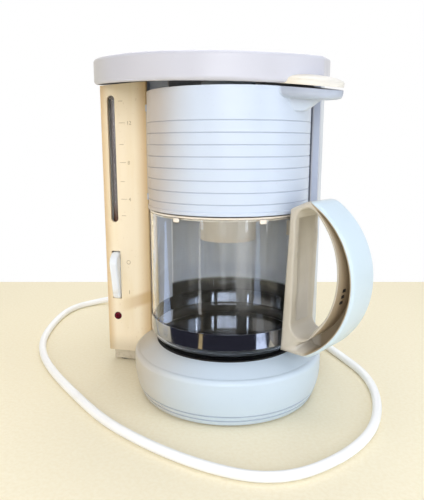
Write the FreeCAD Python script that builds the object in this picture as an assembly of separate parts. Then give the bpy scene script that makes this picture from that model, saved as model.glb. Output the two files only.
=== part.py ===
import FreeCAD, Part
import math
import os
from FreeCAD import Vector

# Drip coffee maker with a swing-out filter basket and a glass carafe.
# Millimetres. The origin lies on the table under the brewing axis.
# X points to the machine's right, Y to its back and Z up.

# Clearances
SEAT_GAP = 0.3            # between pieces that rest on each other
SKIN_GAP = 0.1            # between round pieces of one assembly
RUNNING_GAP = 0.05        # radial play of a pin or a plunger
SWING_GAP = 0.5           # between a moving piece and the housing beside it
END_GAP = 0.4             # axial play of a hinge barrel

# Housing walls
WALL = 2.5                # moulded wall of the base, the tower and the lid
FOOT_HEIGHT = 2.0         # rubber foot under the base plate
FOOT_RADIUS = 7.0
FRONT_FOOT_X = 44.0       # front feet, either side of the middle
FRONT_FOOT_Y = -50.0

# Round base under the carafe
BASE_RADIUS = 88.0        # widest, below the shoulder
BASE_FLOOR_RADIUS = 81.0  # at the bottom edge
BASE_BULGE_Z = 30.0       # where the side has reached its full radius
BASE_SIDE_TOP_Z = 39.0    # where the shoulder starts
BASE_SHOULDER = 4.5       # size of the rounded shoulder
BASE_CROWN_Z = 51.5       # top of the sloping rim round the hot plate
BASE_GROOVE_DEPTH = 0.8
BASE_GROOVES_Z = (6.5, 11.0)
SEAL_OPENING_RADIUS = 67.0

# Tower behind and beside the carafe
TOWER_LEFT = -136.0
TOWER_RIGHT = 78.5
TOWER_BACK = 125.0
TOWER_FRONT = 27.0        # plane of the front panel and of the right wing
TOWER_SEAM_Z = 44.0       # the tower shell stands on the base here
TOWER_BACK_ROUND = 14.0
TOWER_WING_ROUND = 2.0
BLOCK_BOTTOM_Z = 14.0     # underside of the base block, above the plinth
PLINTH_INSET = 3.4
BAY_RADIUS = 77.0         # concave bay round carafe and basket
BAY_LEFT = -87.0          # left side of the bay, beside the hinge
HINGE_POCKET_BACK = 37.0
SHELF_Z = 136.0           # ledge that carries the tank
SHELF_THICKNESS = 3.5
SHELF_DEPTH = 6.0

# Front panel of the control column
PANEL_THICKNESS = 3.0
PANEL_EDGE_ROUND = 1.8
COLUMN_LINE_INSET = 11.4  # from the tower's left side: level window, switch and lamp share this line
WINDOW_WIDTH = 8.0
WINDOW_BOTTOM_Z = 152.7
WINDOW_TOP_Z = 278.2

# Lid, crowned from side to side and sloping down to the front
LID_SLOPE_DEG = 7.3
LID_CROWN_X = -45.0       # highest line of the crown
LID_CROWN_RADIUS = 1100.0
LID_BOTTOM_Z = 288.2      # underside of the skirt where the crown line passes the brewing axis
LID_HEIGHT = 22.0
LID_LEFT = -137.5
LID_CHEEK_Y = 30.0        # from here the left side leans in to meet the front arc
LID_CHEEK_LENGTH = 24.5
LID_CHEEK_LEAN = 7.95
LID_CHEEK_ROUND = 30.0
LID_RIGHT = 83.0
LID_RIGHT_FRONT_Y = -26.2 # the front arc ends here on the right side
LID_BACK = 128.0
LID_FRONT_ROUND = 10.0
LID_BACK_ROUND = 12.0
LID_TOP_ROUND = 3.0
LID_PIN_Y = 131.0
LID_PIN_Z = 296.0
LID_PIN_RADIUS = 2.0
LID_KNUCKLE_RADIUS = 4.5
LID_KNUCKLE_LENGTH = 12.0
LID_LUGS_X = (-76.0, 16.0)
LID_EAR_RISE = 15.0

# Finger lips of the lid and of the basket
LIP_TIP_X = 87.5
LIP_TIP_Y = -35.5
LIP_TIP_RADIUS = 8.0
LIP_ROOT_X = 58.0
LIP_ROOT_Y = -33.0
LIP_ROOT_RADIUS = 18.0
LIP_SLOT = 4.2            # between the two lips
LID_LIP_THICKNESS = 3.6

# Swing-out filter basket
BASKET_RADIUS = 72.0
BASKET_WALL = 2.2
BASKET_BOTTOM_Z = 175.4
BASKET_TOP_Z = 275.2
BASKET_BEAD = 0.8         # raised bead at the bottom edge
BASKET_BEAD_HEIGHT = 2.6
BASKET_FLOOR_Z = 182.0
BASKET_FLOOR = 2.5
BASKET_LEDGE_Z = 261.7    # carries the filter insert
BASKET_LEDGE = 3.0
GROOVE_COUNT = 8
GROOVE_FIRST_Z = 184.2
GROOVE_LAST_Z = 249.5
GROOVE_DEPTH = 0.5
GROOVE_HALF_WIDTH = 0.5
GRIP_THICKNESS = 4.0
GUSSET_FOOT_X = 66.0      # lower end of the moulded gusset under the grip
GUSSET_FOOT_Y = -32.0
GUSSET_FOOT_Z = 257.5
GUSSET_FOOT_RADIUS = 5.2
GUSSET_ROOT_RADIUS = 6.0
HINGE_X = -79.0
HINGE_Y = 20.0
HINGE_PIN_RADIUS = 2.5
HINGE_BARREL_RADIUS = 6.0
HINGE_LUG = 6.0           # height of each lug of the tower
HINGE_LOW_Z = 178.0       # underside of the lower lug
HINGE_HIGH_Z = 262.0      # underside of the upper lug

# Filter insert and drip stop
INSERT_TOP_RADIUS = 66.0
INSERT_BOTTOM_RADIUS = 22.0
INSERT_BOTTOM_Z = 193.0
INSERT_WALL = 1.8
INSERT_FLANGE = 2.0
INSERT_OUTLET_RADIUS = 8.0
STOP_STEM_RADIUS = 4.0
STOP_HEAD_RADIUS = 9.0
STOP_HEAD = 2.5
STOP_BUTTON_RADIUS = 7.0
STOP_BUTTON = 3.0
STOP_TIP_Z = 174.7

# Hot plate and what is under it
PLATE_RADIUS = 64.5
PLATE_TOP_Z = 53.0
PLATE_THICKNESS = 2.0
PLATE_EDGE_DROP = 4.0
ELEMENT_RADIUS = 30.0     # half the width of the U
ELEMENT_TUBE_RADIUS = 5.0
ELEMENT_DROP = 2.3        # room under the plate for the hose ends
ELEMENT_LEG = 28.0
BRACKET_WIDTH = 9.0
BRACKET_THICKNESS = 2.0
THERMOSTAT_RADIUS = 9.0
HOSE_RADIUS = 7.0
HOSE_BEND = 12.0
HOSE_OVERLAP = 8.0
HOSE_RUN_Y = 41.0
HOSE_LOW_Z = 16.0
HOSE_UP_Y = 104.0
HOSE_OPENING = 5.0        # room round each hose where it leaves the base
RISER_X = 62.0
RISER_RADIUS = 5.0
RISER_BOTTOM_Z = 62.0
RISER_TOP_Z = 303.0
ARM_RADIUS = 5.0
ARM_HIGH_Z = 308.0
ARM_LOW_Z = 294.0
ARM_SOCKET_RADIUS = 7.5
SPRAY_RADIUS = 24.0
SPRAY_BOTTOM_Z = 279.5
SPRAY_THICKNESS = 4.5
SPRAY_NECK_RADIUS = 8.0
TERMINAL_LEFT = -115.0
TERMINAL_FRONT = 58.0
TERMINAL_WIDTH = 30.0
TERMINAL_DEPTH = 34.0
TERMINAL_HEIGHT = 20.0
TERMINAL_WAYS = 3
TERMINAL_GROOVE = 5.0     # depth of the grooves between the ways

# Water tank and level gauge
TANK_CLEARANCE = 0.6
TANK_WALL = 2.0
TANK_TOP_Z = 283.0
TANK_FRONT = 40.0
TANK_RIGHT = 48.0
VALVE_X = -30.0
VALVE_RADIUS = 4.9
VALVE_LENGTH = 22.0
VALVE_FLANGE_RADIUS = 9.0
VALVE_FLANGE = 2.0
GAUGE_RADIUS = 3.6
GAUGE_BORE_RADIUS = 2.6
GAUGE_BACKSET = 0.6       # behind the panel's back face
GAUGE_TOP_Z = 284.5
GAUGE_LUG = 8.0
GAUGE_LUG_HALF_WIDTH = 5.2
GAUGE_SOCKET_FLOOR = 3.5
FLOAT_RADIUS = 2.3
FLOAT_HEIGHT = 7.0

# Switch and pilot lamp
ROCKER_WIDTH = 8.6
ROCKER_BOTTOM_Z = 71.8
ROCKER_TOP_Z = 118.0
ROCKER_TOP_PROUD = 9.0
ROCKER_BOTTOM_PROUD = 2.2
ROCKER_EDGE_ROUND = 1.2
ROCKER_BOSS = 5.0
ROCKER_OPENING_PLAY = 4.5  # above and below, for the rocking ends
SWITCH_PIN_Z = 95.0
SWITCH_PIN_DEPTH = 6.0     # behind the panel's back face
SWITCH_PIN_RADIUS = 1.5
SWITCH_CHEEK = 1.7
SWITCH_FRAME_DEPTH = 16.0
SWITCH_FRAME_HALF_HEIGHT = 17.0
LAMP_Z = 52.3
LAMP_RADIUS = 4.0
LAMP_PROUD = 1.6
LAMP_LENGTH = 8.0
LAMP_HOLDER_RADIUS = 5.5
LAMP_HOLDER_LENGTH = 12.0

# Carafe
GLASS_RADIUS = 70.8
GLASS_WALL = 2.4
GLASS_HEEL = 11.0         # rounding of the bottom edge
GLASS_TOP_Z = 172.2
BAND_THICKNESS = 0.9
BAND_BOTTOM_Z = 63.6
BAND_HEIGHT = 13.8
BAND_LUG_LENGTH = 12.0
BAND_LUG_HALF_WIDTH = 4.0
BAND_LUG_INSET = 2.0
CARAFE_LID_THICKNESS = 1.5
CARAFE_LID_SKIRT = 9.0
CARAFE_LID_SKIRT_WALL = 2.2
WELL_RADIUS = 25.6
WELL_WALL = 1.8
WELL_BOTTOM_Z = 146.0
WELL_HOLE_RADIUS = 4.0
POUR_NOTCH = 16.0
POUR_NOTCH_DEPTH = 6.0

# D-shaped handle, in its own plane: distance from the axis, then height
HANDLE_AZIMUTH_DEG = -28.0
HANDLE_WIDTH = 36.0
HANDLE_BOTTOM_Z = 60.0
HANDLE_BAR = 82.5         # inner face of the upright bar at its foot
HANDLE_REACH = 137.0
HANDLE_REACH_Z = 125.0
HANDLE_TOP_Z = 189.5
HANDLE_CORNER = (78.5, 181.0)
HANDLE_FOOT_SHARE = 0.2844  # shares of the way from the bar to the farthest point
LOOP_HEAD_SHARE = 0.0459
LOOP_CROWN_SHARE = 0.1927
LOOP_SHOULDER_SHARE = 0.4128
LOOP_REACH_SHARE = 0.7248
LOOP_HEEL_SHARE = 0.3761
LOOP_FLOOR_SHARE = 0.156
LOOP_FOOT_Z = 86.0
LOOP_HEAD_Z = 174.0
LOOP_CROWN_Z = 182.0
LOOP_SHOULDER_Z = 177.0
LOOP_REACH_Z = 140.0
LOOP_HEEL_Z = 82.0
LOOP_FLOOR_Z = 75.5
HANDLE_TOP_ROUND = 14.0
HANDLE_FOOT_ROUND = 10.0
HANDLE_CORNER_ROUND = 3.0
LOOP_POINTS_PER_RUN = 6
HANDLE_OUTER_EDGE = 3.5
HANDLE_INNER_EDGE = 1.5
TROUGH_RADIUS = 20.0
TROUGH_DEPTH = 5.0
BRIDGE_BOTTOM_Z = 158.0
BRIDGE_HEIGHT = 12.0
BRIDGE_HALF_WIDTH = 9.0
SCREW_RADIUS = 2.0
SCREW_HEAD_RADIUS = 3.6
SCREW_HEAD = 2.4
SCREW_REACH = 80.0        # distance from the axis

# Mains lead
CORD_RADIUS = 4.0
CORD_BEND_SHARE = 0.45    # share of the shorter run that each bend takes up
RELIEF_X = -75.0
RELIEF_Z = 18.0
RELIEF_LENGTH = 30.0
RELIEF_ROOT_RADIUS = 8.5
RELIEF_TIP_RADIUS = 5.2
RELIEF_FLANGE_RADIUS = 11.0
RELIEF_FLANGE = 2.0
PLUG_LENGTH = 38.0
PLUG_HEIGHT = 28.0
PLUG_WIDTH = 36.0
PLUG_EDGE_ROUND = 9.0
PLUG_NECK_RADIUS = 6.5
PLUG_NECK_TIP_RADIUS = 5.5
PLUG_NECK = 10.0
PIN_RADIUS = 2.4
PIN_SPACING = 19.0
PIN_LENGTH = 19.0
CORD_ROUTE = [
    (RELIEF_X, TOWER_BACK + RELIEF_LENGTH, RELIEF_Z), (-75, 197, 18), (-44, 228, 9), (4, 222, 4),
    (42, 186, 4), (73, 146, 4), (104, 98, 4), (139, 36, 4), (141, -45, 4), (115, -104, 4),
    (68, -148, 4), (5, -142, 4), (-71, -109, 4), (-123, -69, 4), (-192, -8, 4), (-233, 48, 4),
    (-256, 118, 4), (-264, 180, 4), (-240, 218, 4), (-198, 224, 14), (-158, 224, 14),
]

# How far a cutter reaches past what it cuts, and how close two places count as one
FAR = 400.0
PAST = 1.0
SAME_PLACE = 0.01
HANDLE_EDGE_SEARCH = 0.3  # the handle's arcs end this close to the drawn corners

# Sizes that follow from the ones above
SLOPE = math.tan(math.radians(LID_SLOPE_DEG))
COLUMN_LINE_X = TOWER_LEFT + COLUMN_LINE_INSET
PANEL_BACK = TOWER_FRONT + PANEL_THICKNESS
COLUMN_FRONT = PANEL_BACK + SEAT_GAP
TOWER_TOP_Z = LID_BOTTOM_Z - END_GAP
TANK_BOTTOM_Z = SHELF_Z + SHELF_THICKNESS + SEAT_GAP
ELEMENT_Z = PLATE_TOP_Z - PLATE_THICKNESS - ELEMENT_DROP - ELEMENT_TUBE_RADIUS
HOSE_BORE_RADIUS = ELEMENT_TUBE_RADIUS + RUNNING_GAP
BAND_RADIUS = GLASS_RADIUS + SKIN_GAP
CARAFE_BOTTOM_Z = PLATE_TOP_Z + SEAT_GAP
BASE_PLATE_TOP_Z = FOOT_HEIGHT + WALL
GAUGE_Y = PANEL_BACK + GAUGE_BACKSET + GAUGE_RADIUS
SWITCH_PIN_Y = PANEL_BACK + SWITCH_PIN_DEPTH
HANDLE_DEPTH = HANDLE_REACH - HANDLE_BAR
HANDLE_FOOT = HANDLE_BAR + HANDLE_FOOT_SHARE * HANDLE_DEPTH
LOOP_FOOT = (HANDLE_BAR, LOOP_FOOT_Z)
LOOP_HEAD = (HANDLE_BAR + LOOP_HEAD_SHARE * HANDLE_DEPTH, LOOP_HEAD_Z)
LOOP_CROWN = (HANDLE_BAR + LOOP_CROWN_SHARE * HANDLE_DEPTH, LOOP_CROWN_Z)
LOOP_SHOULDER = (HANDLE_BAR + LOOP_SHOULDER_SHARE * HANDLE_DEPTH, LOOP_SHOULDER_Z)
LOOP_REACH = (HANDLE_BAR + LOOP_REACH_SHARE * HANDLE_DEPTH, LOOP_REACH_Z)
LOOP_HEEL = (HANDLE_BAR + LOOP_HEEL_SHARE * HANDLE_DEPTH, LOOP_HEEL_Z)
LOOP_FLOOR = (HANDLE_BAR + LOOP_FLOOR_SHARE * HANDLE_DEPTH, LOOP_FLOOR_Z)


# Helpers

def box(x0, x1, y0, y1, z0, z1):
    return Part.makeBox(x1 - x0, y1 - y0, z1 - z0, Vector(x0, y0, z0))


def post(radius, z0, z1, x=0.0, y=0.0):
    return Part.makeCylinder(radius, z1 - z0, Vector(x, y, z0))


def rod(radius, start, end):
    axis = Vector(*end) - Vector(*start)
    return Part.makeCylinder(radius, axis.Length, Vector(*start), axis)


def line(a, b):
    return Part.LineSegment(Vector(*a), Vector(*b)).toShape()


def arc(a, middle, b):
    return Part.Arc(Vector(*a), Vector(*middle), Vector(*b)).toShape()


def prism(edges, direction):
    return Part.Face(Part.Wire(edges)).extrude(Vector(*direction))


def outline(points):
    closed = [Vector(*p) for p in points]
    return Part.makePolygon(closed + [closed[0]])


def revolved(points):
    face = Part.Face(outline([(r, 0, z) for r, z in points]))
    return face.revolve(Vector(0, 0, 0), Vector(0, 0, 1), 360)


def upright_edges(shape, places):
    found = []
    for edge in shape.Edges:
        ends = [v.Point for v in edge.Vertexes]
        if len(ends) != 2 or math.hypot(ends[0].x - ends[1].x, ends[0].y - ends[1].y) > SAME_PLACE:
            continue
        if any(math.hypot(ends[0].x - x, ends[0].y - y) < SAME_PLACE for x, y in places):
            found.append(edge)
    return found


def above_slope(z_at_crown):
    """Everything over the lid's crowned slope whose crown line passes the axis at this height."""
    left, right = LID_CROWN_X - FAR, LID_CROWN_X + FAR
    crown = z_at_crown - SLOPE * FAR
    side = crown - LID_CROWN_RADIUS + math.sqrt(LID_CROWN_RADIUS ** 2 - FAR ** 2)
    sky = crown + FAR
    return prism([
        arc((left, -FAR, side), (LID_CROWN_X, -FAR, crown), (right, -FAR, side)),
        line((right, -FAR, side), (right, -FAR, sky)),
        line((right, -FAR, sky), (left, -FAR, sky)),
        line((left, -FAR, sky), (left, -FAR, side)),
    ], (0, 2 * FAR, 2 * SLOPE * FAR))


def route_wire(points, radius_at):
    """Straight runs joined by tangent arcs; also returns the arc radii and the length."""
    points = [Vector(*p) for p in points]
    edges, radii = [], []
    length = 0.0
    start = points[0]
    for before, corner, after in zip(points, points[1:], points[2:]):
        back, ahead = before - corner, after - corner
        shorter = min(back.Length, ahead.Length)
        half_turn = (math.pi - back.getAngle(ahead)) / 2
        radius = radius_at(shorter, half_turn)
        trim = radius * math.tan(half_turn)
        back.normalize()
        ahead.normalize()
        arc_start, arc_end = corner + back * trim, corner + ahead * trim
        middle = corner + (back + ahead).normalize() * (radius / math.cos(half_turn) - radius)
        if (arc_start - start).Length > SAME_PLACE:
            edges.append(Part.LineSegment(start, arc_start).toShape())
        edges.append(Part.Arc(arc_start, middle, arc_end).toShape())
        length += (arc_start - start).Length + 2 * half_turn * radius
        radii.append(radius)
        start = arc_end
    edges.append(Part.LineSegment(start, points[-1]).toShape())
    return Part.Wire(edges), radii, length + (points[-1] - start).Length


def tube_along(wire, points, radius):
    start = Vector(*points[0])
    ring = Part.Circle(start, Vector(*points[1]) - start, radius).toShape()
    return wire.makePipeShell([Part.Wire(ring)], True, False)


def hose_along(points):
    wire = route_wire(points, lambda shorter, half_turn: HOSE_BEND)[0]
    return tube_along(wire, points, HOSE_RADIUS).cut(tube_along(wire, points, HOSE_BORE_RADIUS))


def tongue(root, root_radius, tip, tip_radius, z):
    """Closed outline round two circles of different size."""
    axis = Vector(tip[0] - root[0], tip[1] - root[1], 0)
    heading = math.atan2(axis.y, axis.x)
    lean = math.acos((root_radius - tip_radius) / axis.Length)

    def on(centre, radius, angle):
        return (centre[0] + radius * math.cos(angle), centre[1] + radius * math.sin(angle), z)

    root_left, root_right = on(root, root_radius, heading + lean), on(root, root_radius, heading - lean)
    tip_left, tip_right = on(tip, tip_radius, heading + lean), on(tip, tip_radius, heading - lean)
    return Part.Wire([
        arc(root_left, on(root, root_radius, heading + math.pi), root_right),
        line(root_right, tip_right),
        arc(tip_right, on(tip, tip_radius, heading), tip_left),
        line(tip_left, root_left),
    ])


# Plan of the tower

def tower_block(inset, z0, z1):
    left, right = TOWER_LEFT + inset, TOWER_RIGHT - inset
    back, wing, column = TOWER_BACK - inset, TOWER_FRONT + inset, COLUMN_FRONT + inset
    corners = [(left, column), (0, column), (0, wing), (right, wing), (right, back), (left, back)]
    block = Part.Face(outline([(x, y, z0) for x, y in corners])).extrude(Vector(0, 0, z1 - z0))
    block = block.makeFillet(TOWER_BACK_ROUND - inset, upright_edges(block, [(right, back), (left, back)]))
    return block


def bay(grow, z0, z1):
    """The concave bay for carafe and basket, with the pocket for the basket's hinge."""
    round_bay = post(BAY_RADIUS + grow, z0, z1)
    mouth = box(BAY_LEFT - grow, 0, -FAR, HINGE_POCKET_BACK + grow, z0, z1)
    half = math.sqrt((BAY_RADIUS + grow) ** 2 - TOWER_FRONT ** 2)
    return round_bay.fuse([mouth, box(-PAST, half, -FAR, TOWER_FRONT, z0, z1)])


def tower_ring(inset, z0, z1):
    return tower_block(inset, z0, z1).cut(bay(inset, z0 - PAST, z1 + PAST))


# Base

def base_outer():
    rim = BASE_RADIUS - BASE_SHOULDER
    shoulder_z = BASE_SIDE_TOP_Z + BASE_SHOULDER
    middle = BASE_SHOULDER * (1 - math.sqrt(0.5))
    bulge = ((BASE_FLOOR_RADIUS + 3 * BASE_RADIUS) / 4, 0, (FOOT_HEIGHT + BASE_BULGE_Z) / 2)
    edges = [
        line((0, 0, FOOT_HEIGHT), (BASE_FLOOR_RADIUS, 0, FOOT_HEIGHT)),
        arc((BASE_FLOOR_RADIUS, 0, FOOT_HEIGHT), bulge, (BASE_RADIUS, 0, BASE_BULGE_Z)),
        line((BASE_RADIUS, 0, BASE_BULGE_Z), (BASE_RADIUS, 0, BASE_SIDE_TOP_Z)),
        arc((BASE_RADIUS, 0, BASE_SIDE_TOP_Z), (BASE_RADIUS - middle, 0, shoulder_z - middle),
            (rim, 0, shoulder_z)),
        line((rim, 0, shoulder_z), (SEAL_OPENING_RADIUS, 0, BASE_CROWN_Z)),
        line((SEAL_OPENING_RADIUS, 0, BASE_CROWN_Z), (0, 0, BASE_CROWN_Z)),
        line((0, 0, BASE_CROWN_Z), (0, 0, FOOT_HEIGHT)),
    ]
    return Part.Face(Part.Wire(edges)).revolve(Vector(0, 0, 0), Vector(0, 0, 1), 360)


def base_side_radius(z):
    """Radius of the bulging side near its foot, good enough to place the grooves."""
    share = (z - FOOT_HEIGHT) / (BASE_BULGE_Z - FOOT_HEIGHT)
    return BASE_FLOOR_RADIUS + (BASE_RADIUS - BASE_FLOOR_RADIUS) * (2 * share - share * share)


def base_inner():
    ceiling = TOWER_SEAM_Z - WALL
    foot = BASE_FLOOR_RADIUS - WALL
    full = BASE_RADIUS - WALL
    shoulder = full - BASE_SHOULDER
    throat = SEAL_OPENING_RADIUS + WALL
    return revolved([
        (0, 0), (foot, 0), (foot, FOOT_HEIGHT), (full, BASE_BULGE_Z), (full, ceiling - BASE_SHOULDER),
        (shoulder, ceiling), (throat + WALL, ceiling), (throat, BASE_CROWN_Z - 2 * WALL),
        (0, BASE_CROWN_Z - 2 * WALL),
    ])


def hose_openings():
    room = HOSE_RADIUS + HOSE_OPENING
    low, high = BLOCK_BOTTOM_Z, BASE_CROWN_Z
    return [post(room, low, high, x, HOSE_UP_Y) for x in (VALVE_X, RISER_X)]


def base_housing():
    shell = base_outer()
    for z in BASE_GROOVES_Z:
        side = base_side_radius(z)
        cutter = revolved([
            (side - BASE_GROOVE_DEPTH, z), (side + WALL, z - WALL), (side + WALL, z + WALL),
        ])
        shell = shell.cut(cutter)
    shell = shell.fuse(tower_block(0, BLOCK_BOTTOM_Z, TOWER_SEAM_Z))
    shell = shell.cut(tower_ring(0, TOWER_SEAM_Z, BASE_CROWN_Z + WALL))
    shell = shell.cut(tower_block(WALL, 0, TOWER_SEAM_Z - WALL))
    shell = shell.cut([base_inner(), post(SEAL_OPENING_RADIUS, 0, BASE_CROWN_Z + WALL)])
    relief = rod(RELIEF_ROOT_RADIUS + SKIN_GAP, (RELIEF_X, TOWER_BACK - 2 * WALL, RELIEF_Z),
                 (RELIEF_X, TOWER_BACK + WALL, RELIEF_Z))
    return shell.cut(hose_openings() + [relief]).removeSplitter()


def base_plate():
    inset = PLINTH_INSET
    top = BLOCK_BOTTOM_Z - SEAT_GAP
    tray = tower_block(inset, FOOT_HEIGHT, top).cut(tower_block(inset + WALL, BASE_PLATE_TOP_Z, top + PAST))
    disc_radius = BASE_FLOOR_RADIUS - WALL - SEAT_GAP
    disc = post(disc_radius, FOOT_HEIGHT, BASE_PLATE_TOP_Z)
    ring = post(BASE_RADIUS + SEAT_GAP, FOOT_HEIGHT, top).cut(post(disc_radius, 0, top))
    front = box(-FAR, FAR, -FAR, COLUMN_FRONT + WALL + SEAT_GAP, 0, FAR)
    beside = box(TOWER_RIGHT - WALL - SEAT_GAP, FAR, -FAR, FAR, 0, FAR)
    return tray.fuse(disc).cut([ring.common(front), ring.common(beside)]).removeSplitter()


def feet():
    inset = PLINTH_INSET + WALL + FOOT_RADIUS
    back_y = TOWER_BACK - inset
    places = [
        ("front_left", -FRONT_FOOT_X, FRONT_FOOT_Y), ("front_right", FRONT_FOOT_X, FRONT_FOOT_Y),
        ("back_left", TOWER_LEFT + inset, back_y), ("back_right", TOWER_RIGHT - inset, back_y),
        ("column", TOWER_LEFT + inset, COLUMN_FRONT + inset),
    ]
    return {"foot_" + name: post(FOOT_RADIUS, 0, FOOT_HEIGHT, x, y) for name, x, y in places}


def hot_plate():
    under = PLATE_TOP_Z - PLATE_THICKNESS
    inner = PLATE_RADIUS - PLATE_THICKNESS
    drop = under - PLATE_EDGE_DROP
    return revolved([
        (0, under), (inner, under), (inner, drop), (PLATE_RADIUS, drop),
        (PLATE_RADIUS, PLATE_TOP_Z - PLATE_THICKNESS / 2), (inner, PLATE_TOP_Z), (0, PLATE_TOP_Z),
    ])


def hot_plate_seal():
    bottom = BASE_CROWN_Z - 2 * WALL
    outer, inner = SEAL_OPENING_RADIUS - SKIN_GAP, PLATE_RADIUS + SKIN_GAP
    foot_ring = inner - WALL
    drop = PLATE_TOP_Z - PLATE_THICKNESS - PLATE_EDGE_DROP - SKIN_GAP
    top = PLATE_TOP_Z - PLATE_THICKNESS / 2
    return revolved([
        (foot_ring, bottom - WALL), (outer, bottom - WALL), (outer, top),
        (inner, top), (inner, drop), (foot_ring, drop),
    ])


# Heating and water path

def heating_element():
    r, leg, z = ELEMENT_RADIUS, ELEMENT_LEG, ELEMENT_Z
    wire = Part.Wire([
        line((-r, leg, z), (-r, 0, z)), arc((-r, 0, z), (0, -r, z), (r, 0, z)), line((r, 0, z), (r, leg, z)),
    ])
    return tube_along(wire, [(-r, leg, z), (-r, 0, z)], ELEMENT_TUBE_RADIUS)


def element_bracket():
    reach = ELEMENT_RADIUS + ELEMENT_TUBE_RADIUS + BRACKET_THICKNESS
    top = ELEMENT_Z - ELEMENT_TUBE_RADIUS - SKIN_GAP
    half = BRACKET_WIDTH / 2
    bar = box(-reach, reach, -half, half, top - BRACKET_THICKNESS, top)
    under = PLATE_TOP_Z - PLATE_THICKNESS - SKIN_GAP
    for side in (-1, 1):
        edge = side * (reach + BRACKET_THICKNESS / 2)
        bar = bar.fuse(box(edge - BRACKET_THICKNESS / 2, edge + BRACKET_THICKNESS / 2, -half, half,
                           top - BRACKET_THICKNESS, under))
    return bar.removeSplitter()


def thermostat():
    low = ELEMENT_Z - ELEMENT_TUBE_RADIUS
    return post(THERMOSTAT_RADIUS, low, PLATE_TOP_Z - PLATE_THICKNESS - SKIN_GAP)


def hose(side, up_x, top_z):
    leg_x = side * ELEMENT_RADIUS
    return hose_along([
        (leg_x, ELEMENT_LEG - HOSE_OVERLAP, ELEMENT_Z), (leg_x, HOSE_RUN_Y, ELEMENT_Z),
        (leg_x, HOSE_RUN_Y, HOSE_LOW_Z), (up_x, HOSE_UP_Y, HOSE_LOW_Z), (up_x, HOSE_UP_Y, top_z),
    ])


def check_valve():
    top = TANK_BOTTOM_Z - SKIN_GAP
    stem = post(VALVE_RADIUS, top - VALVE_LENGTH, top, VALVE_X, HOSE_UP_Y)
    return stem.fuse(post(VALVE_FLANGE_RADIUS, top - VALVE_FLANGE, top, VALVE_X, HOSE_UP_Y)).removeSplitter()


def riser_tube():
    bore = RISER_RADIUS - TANK_WALL
    tube = post(RISER_RADIUS, RISER_BOTTOM_Z, RISER_TOP_Z, RISER_X, HOSE_UP_Y)
    return tube.cut(post(bore, 0, FAR, RISER_X, HOSE_UP_Y))


def spray_arm():
    arm = rod(ARM_RADIUS, (RISER_X, HOSE_UP_Y, ARM_HIGH_Z), (0, 0, ARM_LOW_Z))
    crown = ARM_HIGH_Z + ARM_RADIUS
    socket = post(ARM_SOCKET_RADIUS, RISER_TOP_Z - HOSE_OVERLAP, crown, RISER_X, HOSE_UP_Y)
    head_top = SPRAY_BOTTOM_Z + SPRAY_THICKNESS
    head = post(SPRAY_RADIUS, SPRAY_BOTTOM_Z, head_top)
    neck = post(SPRAY_NECK_RADIUS, SPRAY_BOTTOM_Z, ARM_LOW_Z + ARM_RADIUS)
    bore = post(RISER_RADIUS + RUNNING_GAP, 0, RISER_TOP_Z + SEAT_GAP, RISER_X, HOSE_UP_Y)
    return arm.fuse([socket, head, neck]).cut(bore).removeSplitter()


def terminal_block():
    floor = BASE_PLATE_TOP_Z + SKIN_GAP
    top, back = floor + TERMINAL_HEIGHT, TERMINAL_FRONT + TERMINAL_DEPTH
    block = box(TERMINAL_LEFT, TERMINAL_LEFT + TERMINAL_WIDTH, TERMINAL_FRONT, back, floor, top)
    for i in range(1, TERMINAL_WAYS):
        middle = TERMINAL_LEFT + TERMINAL_WIDTH * i / TERMINAL_WAYS
        groove = box(middle - WALL / 2, middle + WALL / 2, TERMINAL_FRONT - PAST, back + PAST,
                     top - TERMINAL_GROOVE, top + PAST)
        block = block.cut(groove)
    return block


# Tower

def tower_shell():
    top = LID_BOTTOM_Z + LID_HEIGHT
    shell = tower_ring(0, TOWER_SEAM_Z, top).cut(tower_ring(WALL, TOWER_SEAM_Z - PAST, top + PAST))
    ledge_top = SHELF_Z + SHELF_THICKNESS
    shelf = tower_ring(WALL / 2, SHELF_Z, ledge_top)
    shelf = shelf.cut(tower_ring(WALL + SHELF_DEPTH, SHELF_Z - PAST, ledge_top + PAST))
    riser_room = post(RISER_RADIUS + HOSE_OPENING, SHELF_Z - PAST, ledge_top + PAST, RISER_X, HOSE_UP_Y)
    shell = shell.fuse(shelf.cut(riser_room))
    reach = HINGE_BARREL_RADIUS + SWING_GAP
    for z in (HINGE_LOW_Z, HINGE_HIGH_Z):
        eye = post(reach, z, z + HINGE_LUG, HINGE_X, HINGE_Y)
        arm = box(HINGE_X - reach, HINGE_X + reach, HINGE_Y, HINGE_POCKET_BACK + WALL / 2, z, z + HINGE_LUG)
        shell = shell.fuse([eye, arm])
    shell = shell.cut(post(HINGE_PIN_RADIUS, HINGE_LOW_Z + WALL, FAR, HINGE_X, HINGE_Y))
    behind_panel = box(TOWER_LEFT + WALL + SEAT_GAP, BAY_LEFT - WALL - SEAT_GAP, 0, COLUMN_FRONT + 2 * WALL,
                       TOWER_SEAM_Z + WALL / 2, GAUGE_TOP_Z + SEAT_GAP)
    shell = shell.cut([behind_panel, above_slope(TOWER_TOP_Z)])
    for x in LID_LUGS_X:
        shell = shell.fuse(lid_knuckle(x, TOWER_BACK - WALL / 2, LID_PIN_Z - LID_KNUCKLE_RADIUS, LID_PIN_Z))
    return shell.cut(lid_pin_bores()).removeSplitter()


def lid_knuckle(x, face_y, z0, z1):
    end = x + LID_KNUCKLE_LENGTH
    round_end = rod(LID_KNUCKLE_RADIUS, (x, LID_PIN_Y, LID_PIN_Z), (end, LID_PIN_Y, LID_PIN_Z))
    return round_end.fuse(box(x, end, face_y, LID_PIN_Y, z0, z1))


def lid_pin_ends(x):
    return (x, LID_PIN_Y, LID_PIN_Z), (x + 2 * LID_KNUCKLE_LENGTH + END_GAP, LID_PIN_Y, LID_PIN_Z)


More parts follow.
